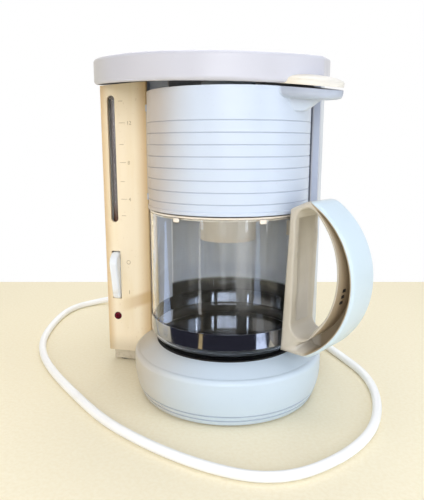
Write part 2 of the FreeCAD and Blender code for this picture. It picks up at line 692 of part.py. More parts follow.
def lid_pin_bores():
    return [rod(LID_PIN_RADIUS + RUNNING_GAP, *lid_pin_ends(x)) for x in LID_LUGS_X]


def front_panel():
    top = LID_BOTTOM_Z + LID_HEIGHT
    panel = box(TOWER_LEFT, BAY_LEFT, TOWER_FRONT, PANEL_BACK, BLOCK_BOTTOM_Z, top)
    corners = [(TOWER_LEFT, TOWER_FRONT), (BAY_LEFT, TOWER_FRONT)]
    panel = panel.makeFillet(PANEL_EDGE_ROUND, upright_edges(panel, corners))
    half = WINDOW_WIDTH / 2
    front, back = TOWER_FRONT - WALL, PANEL_BACK + WALL
    ends = (WINDOW_BOTTOM_Z + half, WINDOW_TOP_Z - half)
    window = [rod(half, (COLUMN_LINE_X, front, z), (COLUMN_LINE_X, back, z)) for z in ends]
    window.append(box(COLUMN_LINE_X - half, COLUMN_LINE_X + half, front, back, *ends))
    rocker_half = ROCKER_WIDTH / 2 + SWING_GAP
    opening = box(COLUMN_LINE_X - rocker_half, COLUMN_LINE_X + rocker_half, front, back,
                  ROCKER_BOTTOM_Z - SWING_GAP, ROCKER_TOP_Z + ROCKER_OPENING_PLAY)
    lamp = rod(LAMP_RADIUS + SKIN_GAP, (COLUMN_LINE_X, front, LAMP_Z), (COLUMN_LINE_X, back, LAMP_Z))
    return panel.cut(window + [opening, lamp, above_slope(TOWER_TOP_Z)])


# Water tank and level gauge

def water_tank():
    outer, inner = WALL + TANK_CLEARANCE, WALL + TANK_CLEARANCE + TANK_WALL
    floor = TANK_BOTTOM_Z + TANK_WALL
    room = box(-FAR, TANK_RIGHT, TANK_FRONT, FAR, TANK_BOTTOM_Z, TANK_TOP_Z)
    hollow = box(-FAR, TANK_RIGHT - TANK_WALL, TANK_FRONT + TANK_WALL, FAR, floor, FAR)
    tank = tower_ring(outer, TANK_BOTTOM_Z, TANK_TOP_Z).common(room)
    tank = tank.cut(tower_ring(inner, floor, TANK_TOP_Z + PAST).common(hollow))
    side = GAUGE_LUG_HALF_WIDTH
    lug_front = PANEL_BACK + SEAT_GAP
    lug_back = TANK_FRONT + TANK_WALL / 2
    for z in (TANK_BOTTOM_Z, TANK_TOP_Z - GAUGE_LUG):
        lug = box(COLUMN_LINE_X - side, COLUMN_LINE_X + side, lug_front, lug_back, z, z + GAUGE_LUG)
        tank = tank.fuse(lug)
    socket = post(GAUGE_RADIUS + RUNNING_GAP, TANK_BOTTOM_Z + GAUGE_SOCKET_FLOOR, FAR, COLUMN_LINE_X, GAUGE_Y)
    outlet = post(HOSE_BORE_RADIUS - WALL, 0, floor + PAST, VALVE_X, HOSE_UP_Y)
    return tank.cut([socket, outlet]).removeSplitter()


def level_tube():
    bottom = TANK_BOTTOM_Z + GAUGE_SOCKET_FLOOR + SKIN_GAP
    tube = post(GAUGE_RADIUS, bottom, GAUGE_TOP_Z, COLUMN_LINE_X, GAUGE_Y)
    return tube.cut(post(GAUGE_BORE_RADIUS, bottom + SEAT_GAP, FAR, COLUMN_LINE_X, GAUGE_Y))


def level_float():
    bottom = WINDOW_BOTTOM_Z + SEAT_GAP
    return post(FLOAT_RADIUS, bottom, bottom + FLOAT_HEIGHT, COLUMN_LINE_X, GAUGE_Y)


# Switch and lamp

def switch_rocker():
    left = COLUMN_LINE_X - ROCKER_WIDTH / 2
    top_y, bottom_y = TOWER_FRONT - ROCKER_TOP_PROUD, TOWER_FRONT - ROCKER_BOTTOM_PROUD
    back = PANEL_BACK + RUNNING_GAP
    boss_y = SWITCH_PIN_Y - SWITCH_PIN_RADIUS
    profile = [
        (bottom_y, ROCKER_BOTTOM_Z + ROCKER_BOTTOM_PROUD), (top_y, ROCKER_TOP_Z - ROCKER_BOTTOM_PROUD),
        (top_y + ROCKER_BOTTOM_PROUD, ROCKER_TOP_Z), (back, ROCKER_TOP_Z),
        (boss_y, SWITCH_PIN_Z + ROCKER_BOSS), (boss_y, SWITCH_PIN_Z - ROCKER_BOSS),
        (back, ROCKER_BOTTOM_Z), (bottom_y + ROCKER_BOTTOM_PROUD, ROCKER_BOTTOM_Z),
    ]
    rocker = Part.Face(outline([(left, y, z) for y, z in profile])).extrude(Vector(ROCKER_WIDTH, 0, 0))
    front_edges = [e for e in rocker.Edges if e.BoundBox.YMax < TOWER_FRONT]
    rocker = rocker.makeFillet(ROCKER_EDGE_ROUND, front_edges)
    start = (left, SWITCH_PIN_Y, SWITCH_PIN_Z)
    end = (left + ROCKER_WIDTH, SWITCH_PIN_Y, SWITCH_PIN_Z)
    bore = rod(SWITCH_PIN_RADIUS + RUNNING_GAP, start, end)
    return rocker.fuse(rod(ROCKER_BOSS, start, end)).cut(bore).removeSplitter()


def switch_frame():
    inner = ROCKER_WIDTH / 2 + SEAT_GAP
    outer = inner + SWITCH_CHEEK
    front = PANEL_BACK + SEAT_GAP
    back = front + SWITCH_FRAME_DEPTH
    low, high = SWITCH_PIN_Z - SWITCH_FRAME_HALF_HEIGHT, SWITCH_PIN_Z + SWITCH_FRAME_HALF_HEIGHT
    frame = box(COLUMN_LINE_X - outer, COLUMN_LINE_X + outer, front, back, low, high)
    slot = box(COLUMN_LINE_X - inner, COLUMN_LINE_X + inner, front - PAST, back - SWITCH_CHEEK,
               low - PAST, high + PAST)
    return frame.cut([slot, rod(SWITCH_PIN_RADIUS, *switch_pin_ends())])


def switch_pin_ends():
    half = ROCKER_WIDTH / 2 + SEAT_GAP + SWITCH_CHEEK
    return [(COLUMN_LINE_X + side, SWITCH_PIN_Y, SWITCH_PIN_Z) for side in (-half, half)]


def lamp_lens():
    front = TOWER_FRONT - LAMP_PROUD
    lens = rod(LAMP_RADIUS, (COLUMN_LINE_X, front, LAMP_Z), (COLUMN_LINE_X, front + LAMP_LENGTH, LAMP_Z))
    rim = [e for e in lens.Edges if e.BoundBox.YMax < front + SAME_PLACE]
    return lens.makeFillet(LAMP_PROUD - SKIN_GAP, rim)


def lamp_holder():
    front = TOWER_FRONT - LAMP_PROUD + LAMP_LENGTH + SKIN_GAP
    back = front + LAMP_HOLDER_LENGTH
    return rod(LAMP_HOLDER_RADIUS, (COLUMN_LINE_X, front, LAMP_Z), (COLUMN_LINE_X, back, LAMP_Z))


# Lid

def lid_plan(inset, z0, z1):
    """Seen from above: straight left side, a cheek that leans in, the front arc, right side and back."""
    inward = Vector(LID_CHEEK_LENGTH, LID_CHEEK_LEAN, 0).normalize()
    cheek_end = Vector(LID_LEFT + LID_CHEEK_LEAN, LID_CHEEK_Y - LID_CHEEK_LENGTH, z0)
    across = Vector(LID_RIGHT, LID_RIGHT_FRONT_Y, z0) - cheek_end
    full_radius = across.Length ** 2 / (2 * across.dot(inward))
    centre = cheek_end + inward * full_radius
    radius = full_radius - inset
    left, right, back = LID_LEFT + inset, LID_RIGHT - inset, LID_BACK - inset
    cheek_y = centre.y - (radius + (left - centre.x) * inward.x) / inward.y
    side_y = centre.y - math.sqrt(radius ** 2 - (right - centre.x) ** 2)
    bend, nose = (left, cheek_y, z0), (centre.x, centre.y - radius, z0)
    start = centre - inward * radius
    end, back_left, back_right = (right, side_y, z0), (left, back, z0), (right, back, z0)
    body = prism([
        line(back_left, bend), line(bend, start), arc(start, nose, end), line(end, back_right),
        line(back_right, back_left),
    ], (0, 0, z1 - z0))
    body = body.makeFillet(LID_CHEEK_ROUND - inset, upright_edges(body, [bend[:2]]))
    body = body.makeFillet(LID_FRONT_ROUND - inset, upright_edges(body, [end[:2]]))
    return body.makeFillet(LID_BACK_ROUND - inset, upright_edges(body, [back_left[:2], back_right[:2]]))


def lip_plate(top_at_crown, thickness):
    """A finger lip that droops with the lid's crown."""
    low = BASKET_BOTTOM_Z
    root, tip = (LIP_ROOT_X, LIP_ROOT_Y), (LIP_TIP_X, LIP_TIP_Y)
    column = Part.Face(tongue(root, LIP_ROOT_RADIUS, tip, LIP_TIP_RADIUS, low)).extrude(Vector(0, 0, FAR))
    return column.common(above_slope(top_at_crown - thickness)).cut(above_slope(top_at_crown))


def lid():
    low, high = BASKET_BOTTOM_Z, FAR
    body = lid_plan(0, low, high).common(above_slope(LID_BOTTOM_Z))
    body = body.cut(above_slope(LID_BOTTOM_Z + LID_HEIGHT))
    top = max(body.Faces, key=lambda face: face.CenterOfMass.z)
    body = body.makeFillet(LID_TOP_ROUND, top.Edges)
    hollow = lid_plan(WALL, low, high).cut(above_slope(LID_BOTTOM_Z + LID_HEIGHT - WALL))
    lip = lip_plate(LID_BOTTOM_Z + LID_LIP_THICKNESS, LID_LIP_THICKNESS)
    shell = body.fuse(lip).cut(hollow)
    skirt_room = lid_plan(-SEAT_GAP, low, high).cut(above_slope(LID_BOTTOM_Z))
    for x in LID_LUGS_X:
        ear_x = x + LID_KNUCKLE_LENGTH + END_GAP
        ear = lid_knuckle(ear_x, LID_BACK - WALL / 2, LID_PIN_Z, LID_PIN_Z + LID_EAR_RISE)
        shell = shell.fuse(ear.cut(skirt_room))
    return shell.cut(lid_pin_bores()).removeSplitter()


# Filter basket

def basket_body():
    inner = BASKET_RADIUS - BASKET_WALL
    floor_top = BASKET_FLOOR_Z + BASKET_FLOOR
    bead = BASKET_RADIUS + BASKET_BEAD
    bead_top = BASKET_BOTTOM_Z + BASKET_BEAD_HEIGHT
    hole = STOP_STEM_RADIUS + RUNNING_GAP
    return revolved([
        (inner, BASKET_BOTTOM_Z), (bead, BASKET_BOTTOM_Z), (bead, bead_top),
        (BASKET_RADIUS, bead_top + BASKET_BEAD), (BASKET_RADIUS, BASKET_TOP_Z),
        (inner, BASKET_TOP_Z), (inner, BASKET_LEDGE_Z), (inner - BASKET_LEDGE, BASKET_LEDGE_Z),
        (inner - BASKET_LEDGE, BASKET_LEDGE_Z - BASKET_WALL),
        (inner, BASKET_LEDGE_Z - BASKET_WALL - BASKET_LEDGE), (inner, floor_top), (hole, floor_top),
        (hole, BASKET_FLOOR_Z), (inner, BASKET_FLOOR_Z),
    ])


def basket_grip():
    root, tip, foot = (LIP_ROOT_X, LIP_ROOT_Y), (LIP_TIP_X, LIP_TIP_Y), (GUSSET_FOOT_X, GUSSET_FOOT_Y)
    top = LID_BOTTOM_Z - LIP_SLOT
    plate = lip_plate(top, GRIP_THICKNESS)
    wide = tongue(root, LIP_ROOT_RADIUS - BASKET_BEAD, tip, LIP_TIP_RADIUS - BASKET_BEAD, BASKET_TOP_Z)
    narrow = tongue(root, GUSSET_ROOT_RADIUS, foot, GUSSET_FOOT_RADIUS, GUSSET_FOOT_Z)
    gusset = Part.makeLoft([narrow, wide], True, True).cut(above_slope(top - GRIP_THICKNESS / 2))
    return plate.fuse(gusset).cut(post(BASKET_RADIUS - BASKET_WALL / 2, 0, FAR))


def filter_basket():
    basket = basket_body()
    step = (GROOVE_LAST_Z - GROOVE_FIRST_Z) / (GROOVE_COUNT - 1)
    for i in range(GROOVE_COUNT):
        z = GROOVE_FIRST_Z + step * i
        basket = basket.cut(revolved([
            (BASKET_RADIUS - GROOVE_DEPTH, z), (BASKET_RADIUS + GROOVE_DEPTH, z - 2 * GROOVE_HALF_WIDTH),
            (BASKET_RADIUS + GROOVE_DEPTH, z + 2 * GROOVE_HALF_WIDTH),
        ]))
    low, high = HINGE_LOW_Z + HINGE_LUG + END_GAP, HINGE_HIGH_Z - END_GAP
    barrel = post(HINGE_BARREL_RADIUS, low, high, HINGE_X, HINGE_Y)
    toward = Vector(-HINGE_X, -HINGE_Y, 0)
    web_length = HINGE_BARREL_RADIUS + BASKET_WALL + toward.Length - BASKET_RADIUS
    toward.normalize()
    across = Vector(-toward.y, toward.x, 0) * (HINGE_BARREL_RADIUS - SWING_GAP)
    axis = Vector(HINGE_X, HINGE_Y, low)
    inside = axis + toward * web_length
    corners = [axis - across, inside - across, inside + across, axis + across]
    web = Part.Face(outline([(p.x, p.y, p.z) for p in corners])).extrude(Vector(0, 0, high - low))
    hollow = post(BASKET_RADIUS - BASKET_WALL / 2, 0, FAR)
    hinge = barrel.fuse(web).cut([hollow, post(HINGE_PIN_RADIUS + RUNNING_GAP, 0, FAR, HINGE_X, HINGE_Y)])
    return basket.fuse([hinge, basket_grip()]).removeSplitter()


def filter_insert():
    top = BASKET_LEDGE_Z + SEAT_GAP
    rim = BASKET_RADIUS - BASKET_WALL - SWING_GAP
    wall = INSERT_WALL
    return revolved([
        (INSERT_OUTLET_RADIUS, INSERT_BOTTOM_Z), (INSERT_BOTTOM_RADIUS, INSERT_BOTTOM_Z),
        (INSERT_TOP_RADIUS, top), (rim, top), (rim, top + INSERT_FLANGE),
        (INSERT_TOP_RADIUS - wall, top + INSERT_FLANGE),
        (INSERT_BOTTOM_RADIUS - wall, INSERT_BOTTOM_Z + wall), (INSERT_OUTLET_RADIUS, INSERT_BOTTOM_Z + wall),
    ])


def drip_stop():
    seat = BASKET_FLOOR_Z + BASKET_FLOOR + SEAT_GAP
    stem = post(STOP_STEM_RADIUS, STOP_TIP_Z, seat + STOP_HEAD)
    head = post(STOP_HEAD_RADIUS, seat, seat + STOP_HEAD)
    button = post(STOP_BUTTON_RADIUS, STOP_TIP_Z, STOP_TIP_Z + STOP_BUTTON)
    return stem.fuse([head, button]).removeSplitter()


# Carafe

def carafe_glass():
    outer, inner = GLASS_RADIUS, GLASS_RADIUS - GLASS_WALL
    low, floor = CARAFE_BOTTOM_Z, CARAFE_BOTTOM_Z + GLASS_WALL
    heel, hollow = GLASS_HEEL, GLASS_HEEL - GLASS_WALL
    bend = 1 - math.sqrt(0.5)
    edges = [
        line((0, 0, low), (outer - heel, 0, low)),
        arc((outer - heel, 0, low), (outer - heel * bend, 0, low + heel * bend), (outer, 0, low + heel)),
        line((outer, 0, low + heel), (outer, 0, GLASS_TOP_Z)),
        line((outer, 0, GLASS_TOP_Z), (inner, 0, GLASS_TOP_Z)),
        line((inner, 0, GLASS_TOP_Z), (inner, 0, floor + hollow)),
        arc((inner, 0, floor + hollow), (inner - hollow * bend, 0, floor + hollow * bend),
            (inner - hollow, 0, floor)),
        line((inner - hollow, 0, floor), (0, 0, floor)),
        line((0, 0, floor), (0, 0, low)),
    ]
    return Part.Face(Part.Wire(edges)).revolve(Vector(0, 0, 0), Vector(0, 0, 1), 360)


def to_handle(shape):
    shape.rotate(Vector(0, 0, 0), Vector(0, 0, 1), HANDLE_AZIMUTH_DEG)
    return shape


def carafe_band():
    top = BAND_BOTTOM_Z + BAND_HEIGHT
    outer = BAND_RADIUS + BAND_THICKNESS
    ring = post(outer, BAND_BOTTOM_Z, top).cut(post(BAND_RADIUS, BAND_BOTTOM_Z - PAST, top + PAST))
    return ring.fuse(to_handle(band_lug(0))).cut(to_handle(screw_hole())).removeSplitter()


def band_lug(grow):
    root = BAND_RADIUS + BAND_THICKNESS / 2
    side = BAND_LUG_HALF_WIDTH + grow
    inset = BAND_LUG_INSET - grow
    return box(root, root + BAND_LUG_LENGTH + grow, -side, side,
               BAND_BOTTOM_Z + inset, BAND_BOTTOM_Z + BAND_HEIGHT - inset)


def screw_hole():
    return post(SCREW_RADIUS + RUNNING_GAP, 0, BAND_BOTTOM_Z + BAND_HEIGHT / 2 + SEAT_GAP, SCREW_REACH, 0)


def handle_screw():
    low = HANDLE_BOTTOM_Z + SEAT_GAP
    shank = post(SCREW_RADIUS, low, BAND_BOTTOM_Z + BAND_HEIGHT / 2, SCREW_REACH, 0)
    head = post(SCREW_HEAD_RADIUS, low, low + SCREW_HEAD, SCREW_REACH, 0)
    return to_handle(shank.fuse(head).removeSplitter())


def handle_profile():
    half = -HANDLE_WIDTH / 2

    def at(point):
        return (point[0], half, point[1])

    base = at((BAND_RADIUS + BAND_THICKNESS + SEAT_GAP, HANDLE_BOTTOM_Z))
    foot, head = at((HANDLE_FOOT, HANDLE_BOTTOM_Z)), at((HANDLE_FOOT, HANDLE_TOP_Z))
    corner = at(HANDLE_CORNER)
    outer = Part.Face(Part.Wire([
        line(base, foot), arc(foot, at((HANDLE_REACH, HANDLE_REACH_Z)), head),
        line(head, corner), line(corner, base),
    ]))
    return outer.cut(Part.Face(Part.Wire(loop_curve(at))))


def loop_curve(at):
    """The finger opening as one smooth closed curve through its bar, crown, grip and floor."""
    runs = [
        line(at(LOOP_FOOT), at(LOOP_HEAD)),
        arc(at(LOOP_HEAD), at(LOOP_CROWN), at(LOOP_SHOULDER)),
        arc(at(LOOP_SHOULDER), at(LOOP_REACH), at(LOOP_HEEL)),
        arc(at(LOOP_HEEL), at(LOOP_FLOOR), at(LOOP_FOOT)),
    ]
    points = [point for run in runs for point in run.discretize(LOOP_POINTS_PER_RUN + 1)[:-1]]
    curve = Part.BSplineCurve()
    curve.interpolate(points, PeriodicFlag=True)
    return curve.toShape()


def handle_loop():
    loop = handle_profile().extrude(Vector(0, HANDLE_WIDTH, 0)).Solids[0]
    corners = [
        ((HANDLE_FOOT, HANDLE_TOP_Z), HANDLE_TOP_ROUND), ((HANDLE_FOOT, HANDLE_BOTTOM_Z), HANDLE_FOOT_ROUND),
        (HANDLE_CORNER, HANDLE_CORNER_ROUND),
    ]
    for (reach, z), radius in corners:
        edges = [e for e in loop.Edges if e.BoundBox.YLength > HANDLE_WIDTH / 2
                 and math.hypot(e.BoundBox.Center.x - reach, e.BoundBox.Center.z - z) < HANDLE_EDGE_SEARCH]
        loop = loop.makeFillet(radius, edges)
    sides = [f for f in loop.Faces if f.BoundBox.YLength < SAME_PLACE]
    loop = loop.makeFillet(HANDLE_OUTER_EDGE, [e for f in sides for e in f.OuterWire.Edges])
    sides = [f for f in loop.Faces if f.BoundBox.YLength < SAME_PLACE and len(f.Wires) == 2]
    rims = [w for f in sides for w in f.Wires if not w.isSame(f.OuterWire)]
    return loop.makeFillet(HANDLE_INNER_EDGE, [e for w in rims for e in w.Edges])


def carafe_handle():
    loop = handle_loop()
    axis = LOOP_FOOT[0] + TROUGH_RADIUS - TROUGH_DEPTH / 2
    trough = post(TROUGH_RADIUS, LOOP_FOOT[1], LOOP_HEAD[1], axis, 0)
    trough = trough.common(box(0, LOOP_HEAD[0] + PAST, -FAR, FAR, 0, FAR))
    bridge = box(0, HANDLE_CORNER[0], -BRIDGE_HALF_WIDTH, BRIDGE_HALF_WIDTH,
                 BRIDGE_BOTTOM_Z, BRIDGE_BOTTOM_Z + BRIDGE_HEIGHT)
    loop = loop.cut(trough).fuse(bridge)
    glass = post(BAND_RADIUS + SKIN_GAP, 0, FAR)
    band = post(BAND_RADIUS + BAND_THICKNESS + SEAT_GAP, 0, BAND_BOTTOM_Z + BAND_HEIGHT + SEAT_GAP)
    sunk_head = post(SCREW_HEAD_RADIUS + SKIN_GAP, 0, HANDLE_BOTTOM_Z + SEAT_GAP + SCREW_HEAD + SKIN_GAP,
                     SCREW_REACH, 0)
    loop = loop.cut([glass, band, band_lug(SEAT_GAP), screw_hole(), sunk_head])
    return to_handle(loop.removeSplitter())


def carafe_lid():
    low = GLASS_TOP_Z + SEAT_GAP
    top = low + CARAFE_LID_THICKNESS
    under = low - CARAFE_LID_THICKNESS
    skirt = GLASS_RADIUS - GLASS_WALL - SWING_GAP
    cover = revolved([
        (WELL_HOLE_RADIUS, WELL_BOTTOM_Z), (WELL_RADIUS, WELL_BOTTOM_Z), (WELL_RADIUS, under),
        (skirt - CARAFE_LID_SKIRT_WALL, under), (skirt - CARAFE_LID_SKIRT_WALL, low - CARAFE_LID_SKIRT),
        (skirt, low - CARAFE_LID_SKIRT), (skirt, low), (GLASS_RADIUS, low), (GLASS_RADIUS, top),
        (WELL_RADIUS - WELL_WALL, top), (WELL_RADIUS - WELL_WALL, WELL_BOTTOM_Z + WELL_WALL),
        (WELL_HOLE_RADIUS, WELL_BOTTOM_Z + WELL_WALL),
    ])
    notch = box(-FAR, POUR_NOTCH_DEPTH - GLASS_RADIUS, -POUR_NOTCH / 2, POUR_NOTCH / 2, 0, FAR)
    return cover.cut(to_handle(notch))


# Mains lead

def strain_relief():
    rim = (RELIEF_X, TOWER_BACK + RELIEF_FLANGE, RELIEF_Z)
    flange = rod(RELIEF_FLANGE_RADIUS, (RELIEF_X, TOWER_BACK + SKIN_GAP, RELIEF_Z), rim)
    neck = rod(RELIEF_ROOT_RADIUS, (RELIEF_X, TOWER_BACK - WALL, RELIEF_Z), rim)
    boot = Part.makeCone(RELIEF_ROOT_RADIUS, RELIEF_TIP_RADIUS, RELIEF_LENGTH - RELIEF_FLANGE,
                         Vector(*rim), Vector(0, 1, 0))
    return flange.fuse([neck, boot]).removeSplitter()


def cord_arc_radius(shorter, half_turn):
    return CORD_BEND_SHARE * shorter / math.tan(half_turn)


def mains_cord():
    wire, radii, length = route_wire(CORD_ROUTE, cord_arc_radius)
    cord = tube_along(wire, CORD_ROUTE, CORD_RADIUS)
    print("cord arc radii:", [round(r) for r in radii])
    swept = math.pi * CORD_RADIUS ** 2 * length
    print("cord length %.0f, volume ratio %.4f" % (length, cord.Volume / swept))
    return cord


def plug_body():
    x, y, z = CORD_ROUTE[-1]
    neck = Part.makeCone(PLUG_NECK_TIP_RADIUS, PLUG_NECK_RADIUS, PLUG_NECK, Vector(x, y, z), Vector(1, 0, 0))
    half_width, half_height = PLUG_WIDTH / 2, PLUG_HEIGHT / 2
    body = box(x + PLUG_NECK, x + PLUG_LENGTH, y - half_width, y + half_width,
               z - half_height, z + half_height)
    long_edges = [e for e in body.Edges if e.BoundBox.XLength > PLUG_NECK]
    body = body.makeFillet(PLUG_EDGE_ROUND, long_edges)
    return body.fuse(neck).removeSplitter()


def plug_pins():
    x, y, z = CORD_ROUTE[-1]
    face = x + PLUG_LENGTH
    pins = {}
    for name, side in (("left", -1), ("right", 1)):
        pin_y = y + side * PIN_SPACING / 2
        pins["plug_pin_" + name] = rod(PIN_RADIUS, (face, pin_y, z), (face + PIN_LENGTH, pin_y, z))
    return pins


def pieces():
    parts = {
        "base_housing": base_housing(),
        "base_plate": base_plate(),
        "hot_plate": hot_plate(),
        "hot_plate_seal": hot_plate_seal(),
        "heating_element": heating_element(),
        "element_bracket": element_bracket(),
        "thermostat": thermostat(),
        "inlet_hose": hose(-1, VALVE_X, TANK_BOTTOM_Z - VALVE_FLANGE - SEAT_GAP),
        "outlet_hose": hose(1, RISER_X, RISER_BOTTOM_Z + HOSE_OVERLAP),
        "check_valve": check_valve(),
        "riser_tube": riser_tube(),
        "spray_arm": spray_arm(),
        "terminal_block": terminal_block(),
        "tower_shell": tower_shell(),
        "front_panel": front_panel(),
        "water_tank": water_tank(),
        "level_tube": level_tube(),
        "level_float": level_float(),
        "switch_rocker": switch_rocker(),
        "switch_frame": switch_frame(),
        "switch_pin": rod(SWITCH_PIN_RADIUS, *switch_pin_ends()),
        "lamp_lens": lamp_lens(),
        "lamp_holder": lamp_holder(),
        "lid": lid(),
        "lid_pin_left": rod(LID_PIN_RADIUS, *lid_pin_ends(LID_LUGS_X[0])),
        "lid_pin_right": rod(LID_PIN_RADIUS, *lid_pin_ends(LID_LUGS_X[1])),
        "filter_basket": filter_basket(),
        "basket_pin": post(HINGE_PIN_RADIUS, HINGE_LOW_Z + WALL, HINGE_HIGH_Z + HINGE_LUG, HINGE_X, HINGE_Y),
        "filter_insert": filter_insert(),
        "drip_stop": drip_stop(),
        "carafe_glass": carafe_glass(),
        "carafe_band": carafe_band(),
        "carafe_handle": carafe_handle(),
        "handle_screw": handle_screw(),
        "carafe_lid": carafe_lid(),
        "strain_relief": strain_relief(),
        "mains_cord": mains_cord(),
        "plug_body": plug_body(),
    }
    parts.update(feet())
    parts.update(plug_pins())
    return parts


os.makedirs("parts", exist_ok=True)
for node, shape in pieces().items():
    shape.exportStep("parts/" + node + ".step")
    print("%-16s solids %d valid %s volume %.0f" % (node, len(shape.Solids), shape.isValid(), shape.Volume))
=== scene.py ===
import math

import bpy
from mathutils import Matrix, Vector


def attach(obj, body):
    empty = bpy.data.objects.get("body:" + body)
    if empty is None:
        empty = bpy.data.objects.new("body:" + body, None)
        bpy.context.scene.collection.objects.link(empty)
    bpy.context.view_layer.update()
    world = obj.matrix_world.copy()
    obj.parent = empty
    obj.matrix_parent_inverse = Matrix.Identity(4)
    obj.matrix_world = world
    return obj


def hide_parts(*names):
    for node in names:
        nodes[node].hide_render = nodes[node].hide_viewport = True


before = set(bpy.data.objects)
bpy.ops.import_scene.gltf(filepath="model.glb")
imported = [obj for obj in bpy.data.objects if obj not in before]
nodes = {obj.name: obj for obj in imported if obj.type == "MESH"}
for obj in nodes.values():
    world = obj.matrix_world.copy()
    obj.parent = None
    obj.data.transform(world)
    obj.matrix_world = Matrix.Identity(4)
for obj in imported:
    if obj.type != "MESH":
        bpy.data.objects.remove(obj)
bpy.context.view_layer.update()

# Drip coffee maker: finishes, fine detail, mains lead, studio and camera.
# Metres, in the frame of the solids: X to the right, Y to the back, Z up, brewing axis at X = Y = 0.

MM = 0.001


def mm(*sizes):
    """Millimetres made metres."""
    return tuple(size * MM for size in sizes)


# Control column
PANEL_FACE_Y = 27.0 * MM
COLUMN_LINE_X = -124.6 * MM       # line of the level window, the rocker and the lamp
SCALE_LEFT_X = -116.6 * MM
SCALE_STEPS_Z = mm(159.6, 176.5, 194.3, 213.2, 231.0, 251.9, 272.7)
SCALE_STEP_LENGTHS = mm(4.5, 6.5)  # plain step, numbered step
NUMBER_LEFT_X = SCALE_LEFT_X + 8.0 * MM
NUMBER_Y = PANEL_FACE_Y - 0.02 * MM
NUMBER_SIZE = 5.2 * MM
NUMBER_DEPTH = 0.05 * MM
NUMBER_DROP = 1.9 * MM            # from a step's line to the foot of its number
CUPS_PER_NUMBER = 4
INK_Y = PANEL_FACE_Y - 0.04 * MM
INK_DEPTH = 0.14 * MM
INK_LINE = 0.45 * MM
INK_EDGE = 0.03 * MM
MARKS_X = -110.8 * MM
OFF_RING_Z = 111.0 * MM
OFF_RING_RADIUS = 1.9 * MM
OFF_RING_LINE = 0.28 * MM
OFF_RING_FLATTEN = 0.4
ON_BAR_Z = 79.0 * MM
ON_BAR_SIZE = (0.6 * MM, INK_DEPTH, 4.0 * MM)
ROCKER_WIDTH = 8.6 * MM
ROCKER_ROUND = 2.3 * MM
ROCKER_PROFILE = [                # depth and height, in millimetres
    (33.0, 71.8), (24.6, 71.8), (17.6, 111.0), (19.6, 116.4), (25.6, 121.4), (33.0, 121.4)]

# Basket, base and tower
GROOVE_FIRST_Z = 184.2 * MM
GROOVE_STEP = 9.33 * MM
GROOVE_LAST_Z = GROOVE_FIRST_Z + 7 * GROOVE_STEP
BASE_GROOVES_Z = mm(6.5, 11.0)
BAY_RADIUS = 77.0 * MM
CONE_RIBS = 16
CONE_RIB_MIDDLE = mm(43.5, 0.0, 229.0)
CONE_RIB_SIZE = mm(1.4, 1.6, 74.0)
CONE_RIB_EDGE = 0.4 * MM
CONE_LEAN = math.radians(32.5)
SCREWS_AT = [mm(0.0, -66.0), mm(-60.0, 20.0), mm(60.0, 20.0), mm(-118.0, 76.0), mm(40.0, 106.0)]
SCREW_HEAD_Z = 1.75 * MM
SCREW_HEAD_RADIUS = 3.4 * MM
SCREW_HEAD_DEPTH = 0.9 * MM
SCREW_HEAD_EDGE = 0.3 * MM
SCREW_HEAD_CORNERS = 28
SCREW_CROSS_Z = 1.25 * MM
SCREW_CROSS_SIZES = [mm(4.0, 0.9, 0.3), mm(0.9, 4.0, 0.3)]
SCREW_CROSS_EDGE = 0.08 * MM
VENTS = 9
VENT_FIRST = mm(-34.0, 125.05, 74.0)
VENT_STEP = 8.0 * MM
VENT_SIZE = mm(3.0, 0.5, 30.0)
VENT_EDGE = 0.2 * MM

# Finger lips and the lid's crown, in millimetres
LID_SLOPE = math.radians(7.3)
LID_CROWN_X = -45.0
LID_CROWN_RADIUS = 1100.0
LID_EDGE_Z = 288.2
LIP_CENTRE = (64.5, -34.5)
LIP_HALF_LENGTH = 34.0
LIP_HALF_WIDTH = 19.0
LIP_CORNERS = 72                  # points round the outline
LIP_SPAN = 18                     # points along one side of the grid that closes an end
UPPER_LIP_RINGS = [               # share of the outline, height over the lid's edge
    (1.0, -0.1), (1.02, 3.0), (0.98, 4.6), (0.86, 6.0), (0.66, 7.0), (0.4, 7.6)]
LOWER_LIP_RINGS = [
    (1.0, -2.3), (1.0, -4.5), (0.985, -6.5), (0.955, -8.5), (0.85, -9.8), (0.66, -10.9), (0.4, -11.6)]

# Jug
JUG_RADIUS = 70.8 * MM
JUG_RIM_Z = 172.2 * MM
RIM_LUGS_AT = (-114.0, -55.0, 66.0, 125.0)  # degrees round the rim
RIM_LUG_MIDDLE = (JUG_RADIUS + 0.9 * MM, 0.0, JUG_RIM_Z - 1.6 * MM)
RIM_LUG_SIZE = mm(1.6, 6.0, 3.6)
RIM_LUG_EDGE = 0.7 * MM
SKIRT_CUT_Z = 162.6 * MM
SKIRT_CUT_DEPTH = 16.0 * MM
SKIRT_CORE_DEPTH = 40.0 * MM      # deeper than the cut, so that the core is left whole
SKIRT_OUTSIDE_RADIUS = 69.6 * MM
SKIRT_INSIDE_RADIUS = 58.0 * MM
ROUND_CORNERS = 96

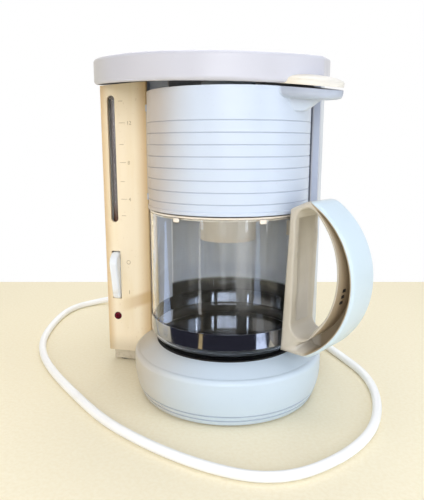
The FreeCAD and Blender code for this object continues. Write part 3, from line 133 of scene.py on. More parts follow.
# Jug handle, in millimetres in its own plane: reach from the brewing axis, across, height
HANDLE_AZIMUTH = math.radians(-28.0)
HANDLE_NEAR_SIDE = -18.0
GRIP_OUTSIDE = (63.75, 124.75)
GRIP_OUTSIDE_RADIUS = 73.25
GRIP_OUTER_WALL = 3.0
GRIP_INSIDE = (52.73, 130.58)
GRIP_INSIDE_RADIUS = 69.9
GRIP_INNER_WALL = 2.2
HOLLOW_DEPTH = 25.0
HOLLOW_CLEAR = 1.0                # how far the cutter starts outside the handle
HOLLOW_OUTER_ARC = (53.0, -60.0, 40)  # degrees at its ends, number of points
HOLLOW_INNER_ARC = (-43.8, 45.0, 36)
HOLLOW_FOOT = [(93.0, 63.6), (89.5, 64.8), (88.5, 68.0), (91.0, 72.0), (97.5, 74.6)]
GRIP_VENTS_Z = (120.0, 115.0, 110.0)
GRIP_VENT_INSET = 10.5
GRIP_VENT_SIZE = mm(0.8, 4.5, 2.6)
GRIP_VENT_EDGE = 0.25 * MM

# Mains lead and plug
CORD_RADIUS = 4.0 * MM
CORD_ROUTE = [                    # places in millimetres
    (-75, 155, 18), (-75, 197, 18), (-44, 228, 9), (4, 222, 4), (42, 186, 4), (73, 146, 4), (104, 98, 4),
    (139, 36, 4), (141, -45, 4), (115, -104, 4), (68, -148, 4), (5, -142, 4), (-71, -109, 4), (-123, -69, 4),
    (-192, -8, 4), (-233, 48, 4), (-256, 118, 4), (-264, 180, 4), (-240, 218, 4), (-198, 224, 14),
    (-158, 224, 14),
]
PLUG_RIDGES = 5
PLUG_RIDGE_FIRST = mm(-142.0, 224.0, 27.9)
PLUG_RIDGE_STEP = 4.2 * MM
PLUG_RIDGE_SIZE = mm(1.6, 16.0, 1.0)
PLUG_RIDGE_EDGE = 0.4 * MM

# Modelling
UPRIGHT = (math.pi / 2, 0, 0)     # turns a flat mark to face the front
CRISP_ANGLE = 0.6                 # radians: edges sharper than this stay crisp
SOFT_ANGLE = 1.0                  # the same for pieces that are round all over
MERGE_DISTANCE = 0.002 * MM

# Shading
PLASTIC_IOR = 1.53
ACRYLIC_IOR = 1.49
GLASS_IOR = 1.33                  # below real glass, 1.47, matched to how clear the jug looks
HAND_WEAR_MM = 35.0               # patches that hands have polished or dulled
CLOUD_DETAIL = 3.0
PLATE_RING_STEP = 2.2 * MM
WAVE_RADIANS = 20.0               # radians per unit that Blender's wave texture turns at a scale of 1


# Materials

def srgb(hex_value):
    """A colour written as sRGB hex, made linear for the shader."""
    channels = [int(hex_value[i:i + 2], 16) / 255 for i in (1, 3, 5)]
    return tuple(c / 12.92 if c <= 0.04045 else ((c + 0.055) / 1.055) ** 2.4 for c in channels) + (1.0,)


def per(size_mm):
    """Texture scale that gives features of this size."""
    return 1000.0 / size_mm


def connect(tree, node, inputs):
    """Fills inputs of a node: a socket is linked, a hex colour is made linear, a number is written."""
    for name, value in inputs.items():
        if isinstance(value, bpy.types.NodeSocket):
            tree.links.new(value, node.inputs[name])
        elif isinstance(value, str):
            node.inputs[name].default_value = srgb(value)
        else:
            node.inputs[name].default_value = value


def add(tree, kind, inputs, gives=None, **settings):
    """One node with its settings and links. Returns the output that is named, or else the first in use."""
    node = tree.nodes.new("ShaderNode" + kind)
    for name, value in settings.items():
        setattr(node, name, value)
    connect(tree, node, inputs)
    if gives:
        return node.outputs[gives]
    return next(output for output in node.outputs if output.enabled)


def start_material(name):
    """A new material with its tree, its shader and the place on the piece that all patterns read."""
    material = bpy.data.materials.new(name)
    material.use_nodes = True
    tree = material.node_tree
    shader = tree.nodes["Principled BSDF"]
    place = add(tree, "TexCoord", {}, gives="Object")
    return material, tree, shader, place


def clouds(tree, place, size_mm, low, high, least=0.0, most=1.0):
    """Soft patches of one size: least where the noise is below low, most where it is above high."""
    noise = add(tree, "TexNoise", {"Vector": place, "Scale": per(size_mm), "Detail": CLOUD_DETAIL})
    return add(tree, "MapRange", {"Value": noise, "From Min": low, "From Max": high, "To Min": least,
                                  "To Max": most}, interpolation_type="SMOOTHSTEP")


def stain(tree, colour, over, strength, *limits):
    """Lays one colour over another, at a strength.

    Each limit is a value, the place where the stain starts and the place where it is full.
    """
    share = strength
    for value, start, full in limits:
        passed = add(tree, "MapRange", {"Value": value, "From Min": start, "From Max": full},
                     interpolation_type="SMOOTHSTEP")
        share = add(tree, "Math", {0: passed, 1: share}, operation="MULTIPLY")
    return add(tree, "Mix", {"Factor": share, "A": colour, "B": over}, data_type="RGBA")


def off_line(tree, value, line):
    """How far a value is from a line, on either side."""
    away = add(tree, "Math", {0: value, 1: line}, operation="SUBTRACT")
    return add(tree, "Math", {0: away}, operation="ABSOLUTE")


def off_axis(tree, place):
    """How far a place is from the brewing axis."""
    level = add(tree, "VectorMath", {0: place, 1: (1.0, 1.0, 0.0)}, operation="MULTIPLY")
    return add(tree, "VectorMath", {0: level}, operation="LENGTH")


def moulded_surface(tree, shader, place, grain_mm, grain_height_mm, smooth, rough):
    """Moulding grain, drawn coarser than the real one so that it shows, and a gloss worn by hands."""
    grain = add(tree, "TexNoise", {"Vector": place, "Scale": per(grain_mm), "Detail": 2.0})
    bump = add(tree, "Bump", {"Height": grain, "Distance": grain_height_mm * MM, "Strength": 0.5})
    worn = clouds(tree, place, size_mm=HAND_WEAR_MM, low=0.3, high=0.7, least=smooth, most=rough)
    connect(tree, shader, {"Normal": bump, "Roughness": worn, "IOR": PLASTIC_IOR})


def aged_abs(name, fresh, aged, fresh_x, aged_x):
    """Moulded satin ABS, cool where it kept its colour and creamier toward one side where it aged."""
    material, tree, shader, place = start_material(name)
    side = add(tree, "SeparateXYZ", {"Vector": place}, gives="X")
    patches = clouds(tree, place, size_mm=48.0, low=0.25, high=0.75, least=0.75, most=1.0)
    colour = stain(tree, fresh, aged, patches, (side, fresh_x, aged_x))
    specks = clouds(tree, place, size_mm=2.6, low=0.66, high=0.74, most=0.06)
    colour = stain(tree, colour, "#8F8878", specks)
    connect(tree, shader, {"Base Color": colour})
    moulded_surface(tree, shader, place, grain_mm=0.9, grain_height_mm=0.02, smooth=0.285, rough=0.38)
    return material, tree, shader, place, colour


def white_housing_abs():
    """Satin white ABS of the round base: bluish white, creamier to the left, painted shade in its grooves.
    """
    material, tree, shader, place, colour = aged_abs(
        "white_housing_abs", fresh="#CBDAE7", aged="#C6BBA9", fresh_x=12.0 * MM, aged_x=-85.0 * MM)
    height = add(tree, "SeparateXYZ", {"Vector": place}, gives="Z")
    # Painted shade: a grey-blue line along each groove.
    for groove_z in BASE_GROOVES_Z:
        groove_shade = (off_line(tree, height, groove_z), 1.1 * MM, 0.44 * MM)
        colour = stain(tree, colour, "#8E97A8", 0.45, groove_shade)
    connect(tree, shader, {"Base Color": colour})
    return material


def ribbed_basket_abs():
    """Satin white ABS of the basket: grey-blue lines of painted shade in its grooves, grey painted shade
    under its grip.
    """
    material, tree, shader, place, colour = aged_abs(
        "ribbed_basket_abs", fresh="#C8D3E4", aged="#BDAD9B", fresh_x=-8.0 * MM, aged_x=-62.0 * MM)
    height = add(tree, "SeparateXYZ", {"Vector": place}, gives="Z")
    depth = add(tree, "SeparateXYZ", {"Vector": place}, gives="Y")
    # Painted shade: a grey-blue line along each groove, from the first to the last.
    climbed = add(tree, "Math", {0: height, 1: GROOVE_FIRST_Z}, operation="SUBTRACT")
    off_groove = add(tree, "Math", {0: climbed, 1: GROOVE_STEP / 2}, operation="PINGPONG")
    groove_shade = (off_groove, 0.75 * MM, 0.25 * MM)
    above_first = (height, GROOVE_FIRST_Z - 2 * MM, GROOVE_FIRST_Z - 1 * MM)
    below_last = (height, GROOVE_LAST_Z + 0.3 * GROOVE_STEP, GROOVE_LAST_Z + 0.2 * GROOVE_STEP)
    colour = stain(tree, colour, "#8B93A4", 0.3, groove_shade, above_first, below_last)
    # Painted shade under the finger lip and its bracket: grey, fading out downward.
    on_grip = (off_axis(tree, place), 72.3 * MM, 74.5 * MM)
    in_front = (depth, 0.0, -5.0 * MM)
    rising = (height, 259.0 * MM, 273.5 * MM)
    under_lip = (height, 280.0 * MM, 276.5 * MM)
    colour = stain(tree, colour, "#8E93A3", 0.7, on_grip, in_front, rising, under_lip)
    connect(tree, shader, {"Base Color": colour})
    return material


def grey_lid_abs():
    """Satin ABS of the lid: pale lavender grey, yellowed at the end over the column."""
    material, *_ = aged_abs(
        "grey_lid_abs", fresh="#C6C6D0", aged="#B7B1A4", fresh_x=-80.0 * MM, aged_x=-135.0 * MM)
    return material


def lip_abs():
    """Satin ABS of the lid's finger lip, handled to a warm cream."""
    material, *_ = aged_abs(
        "lip_abs", fresh="#DEDAD2", aged="#E6DABF", fresh_x=92.0 * MM, aged_x=30.0 * MM)
    return material


def yellowed_panel_abs():
    """ABS of the control panel, yellowed by heat: cream, with streaks, tan edges, the right one painted
    shade beside the basket, and a slanting band of painted shade where the panel bends toward the base.
    """
    material, tree, shader, place = start_material("yellowed_panel_abs")
    side = add(tree, "SeparateXYZ", {"Vector": place}, gives="X")
    height = add(tree, "SeparateXYZ", {"Vector": place}, gives="Z")
    upright = add(tree, "Mapping", {"Vector": place, "Scale": (1.0, 1.0, 0.15)})
    streaks = clouds(tree, upright, size_mm=11.0, low=0.35, high=0.8, most=0.5)
    colour = stain(tree, "#FAEBCF", "#F1DDB3", streaks)
    # Darker tan at both side edges; at the right edge it is painted shade beside the basket.
    right_edge = (side, -102.0 * MM, -87.0 * MM)
    left_edge = (side, -125.0 * MM, -137.0 * MM)
    for edge in (right_edge, left_edge):
        colour = stain(tree, colour, "#D0AC74", 0.8, edge)
    # A slanting band of painted shade low on the right, where the panel bends toward the base.
    slant = add(tree, "VectorMath", {0: place, 1: (-0.38, 0.0, 1.0)}, operation="DOT_PRODUCT")
    crease_shade = (off_line(tree, slant, 109.0 * MM), 9.0 * MM, 3.6 * MM)
    to_the_right = (side, -128.0 * MM, -92.0 * MM)
    colour = stain(tree, colour, "#C79F60", 0.6, crease_shade, to_the_right)
    foot = (height, 34.0 * MM, 16.0 * MM)
    colour = stain(tree, colour, "#B5A88E", 0.45, foot)
    specks = clouds(tree, place, size_mm=2.2, low=0.66, high=0.76, most=0.25)
    colour = stain(tree, colour, "#B08A50", specks)
    connect(tree, shader, {"Base Color": colour})
    moulded_surface(tree, shader, place, grain_mm=0.8, grain_height_mm=0.02, smooth=0.34, rough=0.48)
    return material


def handle_abs():
    """Moulded ABS of the jug's handle in painted light and shade: bluish white painted light outside, beige
    painted shade inside, browner painted shade in the hollow.
    """
    material, tree, shader, place = start_material("handle_abs")
    along = (math.cos(HANDLE_AZIMUTH), math.sin(HANDLE_AZIMUTH), 0.0)
    reach = add(tree, "VectorMath", {0: place, 1: along}, operation="DOT_PRODUCT")
    height = add(tree, "SeparateXYZ", {"Vector": place}, gives="Z")
    plane = add(tree, "CombineXYZ", {"X": reach, "Y": height})
    from_outside = add(tree, "VectorMath", {0: plane, 1: mm(*GRIP_OUTSIDE, 0.0)}, operation="DISTANCE")
    from_inside = add(tree, "VectorMath", {0: plane, 1: mm(*GRIP_INSIDE, 0.0)}, operation="DISTANCE")
    outer_wall = (GRIP_OUTSIDE_RADIUS - GRIP_OUTER_WALL) * MM
    inner_wall = (GRIP_INSIDE_RADIUS + GRIP_INNER_WALL) * MM
    # Beige with random patches: the beige stands in for the shade on the handle's sides.
    patches = clouds(tree, place, size_mm=30.0, low=0.3, high=0.7, most=0.5)
    colour = stain(tree, "#C9C2B4", "#BDB4A4", patches)
    # Browner painted shade in the hollow.
    past_inner_wall = (from_inside, inner_wall - 0.5 * MM, inner_wall - 0.1 * MM)
    in_hollow = (reach, 94.0 * MM, 99.0 * MM)
    colour = stain(tree, colour, "#A39278", 1.0, past_inner_wall, in_hollow)
    # Bluish white painted light on the outer face of the grip.
    past_outer_wall = (from_outside, outer_wall + 0.4 * MM, outer_wall + 1.2 * MM)
    on_grip = (reach, 84.0 * MM, 104.0 * MM)
    colour = stain(tree, colour, "#CCDDE8", 1.0, past_outer_wall, on_grip)
    connect(tree, shader, {"Base Color": colour})
    moulded_surface(tree, shader, place, grain_mm=0.9, grain_height_mm=0.02, smooth=0.28, rough=0.4)
    return material


def tower_abs():
    """Satin ABS of the tower: lavender grey wing in painted shade, paler back, and a bay painted white
    against its shade, with a near-black band of painted shade at its foot and painted shadow of the basket
    high up.
    """
    fresh_x, aged_x = mm(-100.0, -130.0)
    # The wing's lavender grey is painted shade.
    material, tree, shader, place, colour = aged_abs(
        "tower_abs", fresh="#B2BACC", aged="#DCCFB6", fresh_x=fresh_x, aged_x=aged_x)
    side = add(tree, "SeparateXYZ", {"Vector": place}, gives="X")
    depth = add(tree, "SeparateXYZ", {"Vector": place}, gives="Y")
    height = add(tree, "SeparateXYZ", {"Vector": place}, gives="Z")
    to_the_back = (depth, 45.0 * MM, 60.0 * MM)
    off_column = (side, aged_x, fresh_x)
    colour = stain(tree, colour, "#CBD5E0", 1.0, to_the_back, off_column)
    # The bay is painted white to make up for its shade, with a near-black band of painted shade at its foot.
    foot_shade = (height, 91.5 * MM, 88.0 * MM)
    bay_colour = stain(tree, "#F4F7FE", "#2E2B29", 1.0, foot_shade)
    # Painted shadow of the basket high in the bay.
    basket_shadow = (height, 148.0 * MM, 166.0 * MM)
    bay_colour = stain(tree, bay_colour, "#6F6C72", 0.6, basket_shadow)
    in_bay = (off_axis(tree, place), BAY_RADIUS + 1.5 * MM, BAY_RADIUS + 0.5 * MM)
    colour = stain(tree, colour, bay_colour, 1.0, in_bay)
    connect(tree, shader, {"Base Color": colour})
    return material


def cover_abs():
    """Moulded ABS of the jug's cover and its well: cream, with a faint coffee tint low in the well."""
    material, tree, shader, place = start_material("cover_abs")
    height = add(tree, "SeparateXYZ", {"Vector": place}, gives="Z")
    tint = clouds(tree, place, size_mm=12.0, low=0.3, high=0.7, most=0.6)
    low_in_well = (height, 160.0 * MM, 145.0 * MM)
    connect(tree, shader, {"Base Color": stain(tree, "#F3E9DC", "#DCC6A8", tint, low_in_well)})
    moulded_surface(tree, shader, place, grain_mm=0.9, grain_height_mm=0.02, smooth=0.3, rough=0.42)
    return material


def rocker_abs():
    """Glossy white ABS of the switch rocker, with finger grime low on its face."""
    material, tree, shader, place = start_material("rocker_abs")
    height = add(tree, "SeparateXYZ", {"Vector": place}, gives="Z")
    grime = clouds(tree, place, size_mm=5.0, low=0.4, high=0.7, most=0.35)
    low_on_face = (height, 90.0 * MM, 72.0 * MM)
    connect(tree, shader, {"Base Color": stain(tree, "#F1F6FC", "#CDBE9C", grime, low_on_face)})
    moulded_surface(tree, shader, place, grain_mm=0.7, grain_height_mm=0.01, smooth=0.22, rough=0.32)
    return material


def plinth_plastic():
    """Matt polypropylene of the plinth and bottom plate, grey-beige with scuffs."""
    material, tree, shader, place = start_material("plinth_plastic")
    scuffs = clouds(tree, place, size_mm=6.0, low=0.45, high=0.75)
    connect(tree, shader, {"Base Color": stain(tree, "#CDC3AE", "#B3A890", scuffs)})
    moulded_surface(tree, shader, place, grain_mm=0.8, grain_height_mm=0.04, smooth=0.5, rough=0.65)
    return material


def tank_polypropylene():
    """Natural polypropylene of tank, cone and riser: milky, faint lime marks, and painted shade on the gauge
    lugs behind the slot.
    """
    material, tree, shader, place = start_material("tank_polypropylene")
    side = add(tree, "SeparateXYZ", {"Vector": place}, gives="X")
    depth = add(tree, "SeparateXYZ", {"Vector": place}, gives="Y")
    lime = clouds(tree, place, size_mm=14.0, low=0.5, high=0.8, most=0.5)
    colour = stain(tree, "#E9E8E2", "#D8D3C4", lime)
    # Painted shade: dark brown on the tank behind the gauge slot, in the column.
    behind_slot = (depth, PANEL_FACE_Y + 10 * MM, PANEL_FACE_Y + 8 * MM)
    in_column = (side, COLUMN_LINE_X + 9 * MM, COLUMN_LINE_X + 7 * MM)
    colour = stain(tree, colour, "#463D38", 0.9, behind_slot, in_column)
    connect(tree, shader, {"Base Color": colour, "Subsurface Weight": 0.15,
                           "Subsurface Radius": mm(4.0, 4.0, 3.0)})
    moulded_surface(tree, shader, place, grain_mm=1.2, grain_height_mm=0.03, smooth=0.32, rough=0.45)
    return material


def jug_glass():
    """Blown borosilicate glass of the jug: clear, with a thin milky film in upright runs from wiping."""
    material, tree, shader, place = start_material("jug_glass")
    height = add(tree, "SeparateXYZ", {"Vector": place}, gives="Z")
    upright = add(tree, "Mapping", {"Vector": place, "Scale": (1.0, 1.0, 0.06)})
    wide_runs = clouds(tree, upright, size_mm=26.0, low=0.55, high=0.72)
    fine_runs = clouds(tree, upright, size_mm=7.0, low=0.58, high=0.80)
    runs = add(tree, "Math", {0: wide_runs, 1: fine_runs}, operation="ADD")
    on_wall = add(tree, "MapRange", {"Value": height, "From Min": 85.0 * MM, "From Max": 120.0 * MM},
                  interpolation_type="SMOOTHSTEP")
    film = add(tree, "Math", {0: runs, 1: on_wall}, operation="MULTIPLY")
    clear = add(tree, "MapRange", {"Value": film, "From Max": 2.0, "To Min": 1.0, "To Max": 0.80})
    dull = add(tree, "MapRange", {"Value": film, "To Min": 0.0, "To Max": 0.04})
    # The jug's floor mirrors weakly, so that the plate shows through it.
    mirror = add(tree, "MapRange", {"Value": height, "From Min": 62.0 * MM, "From Max": 70.0 * MM,
                                    "To Min": 0.08, "To Max": 0.6}, interpolation_type="SMOOTHSTEP")
    connect(tree, shader, {"Base Color": "#FBFDFF", "IOR": GLASS_IOR, "Transmission Weight": clear,
                           "Roughness": dull, "Specular IOR Level": mirror})
    return material


def gauge_acrylic():
    """Clear acrylic of the level tube, brown with scale toward its foot."""
    material, tree, shader, place = start_material("gauge_acrylic")
    height = add(tree, "SeparateXYZ", {"Vector": place}, gives="Z")
    foot = (height, 175.0 * MM, 155.0 * MM)
    colour = stain(tree, "#C9C4C8", "#9A6B55", 1.0, foot)
    smears = clouds(tree, place, size_mm=6.0, low=0.3, high=0.7, least=0.08, most=0.25)
    connect(tree, shader, {"Base Color": colour, "Transmission Weight": 0.75, "IOR": ACRYLIC_IOR,
                           "Roughness": smears})
    return material


def band_chrome():
    """Polished chromed steel of the jug's band, with finger smears."""
    material, tree, shader, place = start_material("band_chrome")
    smears = clouds(tree, place, size_mm=12.0, low=0.4, high=0.75)
    rough = add(tree, "MapRange", {"Value": smears, "To Min": 0.06, "To Max": 0.16})
    colour = stain(tree, "#A9ABB2", "#8F9299", smears)
    connect(tree, shader, {"Base Color": colour, "Metallic": 1.0, "Roughness": rough})
    return material


def plate_coating():
    """Black non-stick coating of the hot plate: turned rings under a dull gloss with a painted sheen along
    them, paler burnt marks.
    """
    material, tree, shader, place = start_material("plate_coating")
    ring_scale = 2 * math.pi / (WAVE_RADIANS * PLATE_RING_STEP)
    rings = add(tree, "TexWave", {"Vector": place, "Scale": ring_scale, "Distortion": 0.3}, gives="Fac",
                wave_type="RINGS", rings_direction="Z")
    burnt = clouds(tree, place, size_mm=16.0, low=0.5, high=0.8)
    burnt_share = add(tree, "Math", {0: burnt, 1: 0.4}, operation="MULTIPLY")
    colour = stain(tree, "#050506", "#121211", burnt_share)
    # Painted sheen: paler along the turned rings.
    ring_share = add(tree, "Math", {0: rings, 1: 0.35}, operation="MULTIPLY")
    colour = stain(tree, colour, "#2A2A2C", ring_share)
    bump = add(tree, "Bump", {"Height": rings, "Distance": 0.12 * MM, "Strength": 0.5})
    rough = add(tree, "MapRange", {"Value": burnt, "To Min": 0.34, "To Max": 0.5})
    connect(tree, shader, {"Base Color": colour, "Normal": bump, "Roughness": rough,
                           "Specular IOR Level": 0.04})
    return material


def dull_moulding(name, fresh, dusty, smooth):
    """Moulded rubber, silicone or phenolic: dull, with a dusty bloom."""
    material, tree, shader, place = start_material(name)
    bloom = clouds(tree, place, size_mm=4.0, low=0.45, high=0.75)
    connect(tree, shader, {"Base Color": stain(tree, fresh, dusty, bloom)})
    moulded_surface(tree, shader, place, grain_mm=0.6, grain_height_mm=0.03, smooth=smooth,
                    rough=smooth + 0.15)
    return material


def cord_pvc():
    """Soft white PVC of the lead and its plug: even, slightly waxy."""
    material, tree, shader, place = start_material("cord_pvc")
    handled = clouds(tree, place, size_mm=30.0, low=0.45, high=0.8, most=0.5)
    connect(tree, shader, {"Base Color": stain(tree, "#FBFBFA", "#EFEDE8", handled)})
    moulded_surface(tree, shader, place, grain_mm=0.7, grain_height_mm=0.02, smooth=0.38, rough=0.5)
    return material


def drawn_metal(name, bright, worn, rough):
    """Drawn metal with a dull lustre. Its fine lines are drawn coarser than real ones, so that they show."""
    material, tree, shader, place = start_material(name)
    drawn = add(tree, "Mapping", {"Vector": place, "Scale": (1.0, 1.0, 0.1)})
    lines = clouds(tree, drawn, size_mm=0.8, low=0.3, high=0.7)
    spread = add(tree, "MapRange", {"Value": lines, "To Min": rough, "To Max": rough + 0.12})
    colour = stain(tree, bright, worn, lines)
    connect(tree, shader, {"Base Color": colour, "Metallic": 1.0, "Roughness": spread})
    return material


def lamp_polystyrene():
    """Polished ruby polystyrene of the pilot lamp: deep red, darker toward the edges of its facets."""
    material, tree, shader, place = start_material("lamp_polystyrene")
    facets = add(tree, "TexVoronoi", {"Vector": place, "Scale": per(1.6)}, gives="Distance")
    colour = stain(tree, "#7E0D29", "#480617", 1.0, (facets, 0.1, 0.6))
    connect(tree, shader, {"Base Color": colour, "Roughness": 0.2, "Specular IOR Level": 0.25})
    return material


def printed_ink(name, ink):
    """Pad-printed ink, thin and a little rubbed."""
    material, tree, shader, place = start_material(name)
    rubbed = clouds(tree, place, size_mm=1.4, low=0.4, high=0.7, most=0.5)
    connect(tree, shader, {"Base Color": stain(tree, ink, "#D8C9A4", rubbed), "Roughness": 0.5})
    return material


def finish_solids():
    """Gives every solid its material, and returns the materials that the detail pieces share."""
    basket = ribbed_basket_abs()
    rocker = rocker_abs()
    cover = cover_abs()
    tank = tank_polypropylene()
    dark = dull_moulding("black_phenolic", "#1B1B1D", "#2A2A2B", 0.4)
    steel = drawn_metal("bright_steel", "#B9BBBF", "#9A9CA0", 0.22)
    pvc = cord_pvc()
    handle = handle_abs()
    finishes = {
        white_housing_abs(): ["base_housing", "spray_arm"],
        tower_abs(): ["tower_shell"],
        basket: ["filter_basket"],
        grey_lid_abs(): ["lid"],
        yellowed_panel_abs(): ["front_panel"],
        rocker: ["switch_rocker"],
        handle: ["carafe_handle"],
        cover: ["carafe_lid"],
        plinth_plastic(): ["base_plate"],
        tank: ["water_tank", "filter_insert", "riser_tube"],
        jug_glass(): ["carafe_glass"],
        gauge_acrylic(): ["level_tube"],
        band_chrome(): ["carafe_band"],
        plate_coating(): ["hot_plate"],
        dull_moulding("foot_rubber", "#1D1C1B", "#34322F", 0.6): [
            "hot_plate_seal", "foot_front_left", "foot_front_right", "foot_back_left", "foot_back_right",
            "foot_column"],
        dull_moulding("hose_silicone", "#C9C7BF", "#B4B0A5", 0.4): ["inlet_hose", "outlet_hose"],
        dark: ["thermostat", "check_valve", "terminal_block", "switch_frame", "lamp_holder", "drip_stop"],
        steel: ["element_bracket", "switch_pin", "lid_pin_left", "lid_pin_right", "basket_pin",
                "handle_screw"],
        drawn_metal("element_aluminium", "#B4B4B2", "#8F8E8B", 0.3): ["heating_element"],
        drawn_metal("pin_brass", "#D9B66A", "#B08D45", 0.25): ["plug_pin_left", "plug_pin_right"],
        lamp_polystyrene(): ["lamp_lens"],
        dull_moulding("float_brown", "#7A2E1C", "#5C2114", 0.3): ["level_float"],
        pvc: ["strain_relief", "plug_body", "mains_cord"],
    }
    for material, names in finishes.items():
        for name in names:
            nodes[name].data.materials.clear()
            nodes[name].data.materials.append(material)
    return {"basket": basket, "rocker": rocker, "cover": cover, "dark": dark, "steel": steel, "pvc": pvc,
            "handle": handle, "tank": tank}


# Modelling by hand

def deselect():
    """Leaves edit mode and selects nothing."""
    if bpy.context.object and bpy.context.object.mode != "OBJECT":
        bpy.ops.object.mode_set(mode="OBJECT")
    bpy.ops.object.select_all(action="DESELECT")


def pick(piece):
    """Makes one piece the only selected one."""
    deselect()
    piece.select_set(True)
    bpy.context.view_layer.objects.active = piece


def fix_place():
    """Moves the place, turn and size of the picked piece into its mesh."""
    bpy.ops.object.transform_apply(location=True, rotation=True, scale=True)


def edit_all():
    """Opens the picked piece in edit mode with everything on it selected."""
    bpy.ops.object.mode_set(mode="EDIT")
    bpy.ops.mesh.select_all(action="SELECT")


def settle(piece, name, body, material, angle=CRISP_ANGLE):
    """Names a piece, fixes its place in its mesh, smooths it and lets it ride on its body."""
    pick(piece)
    fix_place()
    bpy.ops.object.shade_smooth_by_angle(angle=angle)
    piece.name = name
    piece.data.name = name
    piece.data.materials.clear()
    piece.data.materials.append(material)
    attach(piece, body)
    return piece


def joined(parts):
    """Several meshes made one piece."""
    deselect()
    for part in parts:
        part.select_set(True)
    bpy.context.view_layer.objects.active = parts[0]
    bpy.ops.object.join()
    return bpy.context.object


def round_edges(width, segments, clamp=False):
    """Rounds every edge of the picked piece."""
    edit_all()
    bpy.ops.mesh.bevel(offset=width, segments=segments, affect="EDGES", clamp_overlap=clamp)
    bpy.ops.object.mode_set(mode="OBJECT")
    return bpy.context.object


def rounded_bar(centre, size, edge, segments=2):
    """A bar with rounded edges."""
    deselect()
    bpy.ops.mesh.primitive_cube_add(size=1.0, location=centre, scale=size)
    fix_place()
    return round_edges(edge, segments)


def rounded_row(first, step, count, size, edge):
    """A row of equal rounded bars from left to right."""
    x, y, z = first
    return [rounded_bar((x + step * i, y, z), size, edge) for i in range(count)]


def turned(piece, angle):
    """Turns a piece about the brewing axis."""
    pick(piece)
    bpy.ops.transform.rotate(value=angle, orient_axis="Z", center_override=(0, 0, 0))
    fix_place()
    return piece


def slab(outline, push):
    """A flat closed outline pushed out into a slab."""
    deselect()
    bpy.ops.mesh.primitive_circle_add(vertices=len(outline), radius=0.1, fill_type="NGON")
    piece = bpy.context.object
    for vertex, place in zip(piece.data.vertices, outline):
        vertex.co = place
    edit_all()
    bpy.ops.mesh.extrude_region_move(TRANSFORM_OT_translate={"value": push})
    bpy.ops.mesh.select_all(action="SELECT")
    bpy.ops.mesh.normals_make_consistent(inside=False)
    bpy.ops.object.mode_set(mode="OBJECT")
    return piece


def drum(radius, depth, z):
    """A plain upright drum on the brewing axis, to cut with."""
    deselect()
    bpy.ops.mesh.primitive_cylinder_add(vertices=ROUND_CORNERS, radius=radius, depth=depth,
                                        location=(0, 0, z))
    fix_place()
    return bpy.context.object


def cut_from(piece, cutter):
    """Takes one closed mesh out of another."""
    pick(piece)
    cut = piece.modifiers.new("cut", "BOOLEAN")
    cut.operation = "DIFFERENCE"
    cut.solver = "EXACT"
    cut.object = cutter
    bpy.ops.object.modifier_apply(modifier=cut.name)
    bpy.data.objects.remove(cutter)


def copied_solid(node_name, cutter, name, body, material):
    """A merged copy of a solid with something cut out of it, which stands for that solid."""
    piece = bpy.data.objects.new(name, nodes[node_name].data.copy())
    bpy.context.scene.collection.objects.link(piece)
    pick(piece)
    edit_all()
    bpy.ops.mesh.remove_doubles(threshold=MERGE_DISTANCE)
    bpy.ops.object.mode_set(mode="OBJECT")
    cut_from(piece, cutter)
    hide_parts(node_name)
    return settle(piece, name, body, material)


# Control column

def level_scale(ink):
    """Printed steps beside the level window, with plain numbers at every second one."""
    marks = []
    for i, height in enumerate(SCALE_STEPS_Z):
        length = SCALE_STEP_LENGTHS[i % 2]
        centre = (SCALE_LEFT_X + length / 2, INK_Y, height)
        marks.append(rounded_bar(centre, (length, INK_DEPTH, INK_LINE), INK_EDGE, 1))
    for i, height in enumerate(SCALE_STEPS_Z[1::2]):
        deselect()
        bpy.ops.object.text_add(location=(NUMBER_LEFT_X, NUMBER_Y, height - NUMBER_DROP),
                                rotation=UPRIGHT)
        number = bpy.context.object
        number.data.body = str(CUPS_PER_NUMBER * (i + 1))
        number.data.size = NUMBER_SIZE
        number.data.extrude = NUMBER_DEPTH
        bpy.ops.object.convert(target="MESH")
        marks.append(bpy.context.object)
    return settle(joined(marks), "level_scale", "machine", ink)


def switch_marks(ink):
    """A printed ring and bar, the usual off and on marks, beside the rocker."""
    ring_place = (MARKS_X, PANEL_FACE_Y, OFF_RING_Z)
    deselect()
    bpy.ops.mesh.primitive_torus_add(major_radius=OFF_RING_RADIUS, minor_radius=OFF_RING_LINE,
                                     major_segments=32, minor_segments=8, location=ring_place,
                                     rotation=UPRIGHT)
    ring = bpy.context.object
    edit_all()
    bpy.ops.transform.resize(value=(1, OFF_RING_FLATTEN, 1), center_override=ring_place)
    bpy.ops.object.mode_set(mode="OBJECT")
    bar = rounded_bar((MARKS_X, INK_Y, ON_BAR_Z), ON_BAR_SIZE, INK_EDGE, 1)
    return settle(joined([ring, bar]), "switch_marks", "machine", ink)


def rounded_rocker(material):
    """The switch rocker as one smooth finger shape whose nose stands proud near its top."""
    left = COLUMN_LINE_X - ROCKER_WIDTH / 2
    outline = [(left, depth * MM, height * MM) for depth, height in ROCKER_PROFILE]
    rocker = slab(outline, (ROCKER_WIDTH, 0, 0))
    round_edges(ROCKER_ROUND, 5, clamp=True)
    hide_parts("switch_rocker")
    return settle(rocker, "rounded_rocker", "rocker", material, SOFT_ANGLE)


# Jug

def on_arc(centre, radius, first_deg, last_deg, count):
    """Points along an arc in the handle's plane."""
    step = (last_deg - first_deg) / (count - 1)
    angles = [math.radians(first_deg + step * i) for i in range(count)]
    return [(centre[0] + radius * math.cos(a), centre[1] + radius * math.sin(a)) for a in angles]


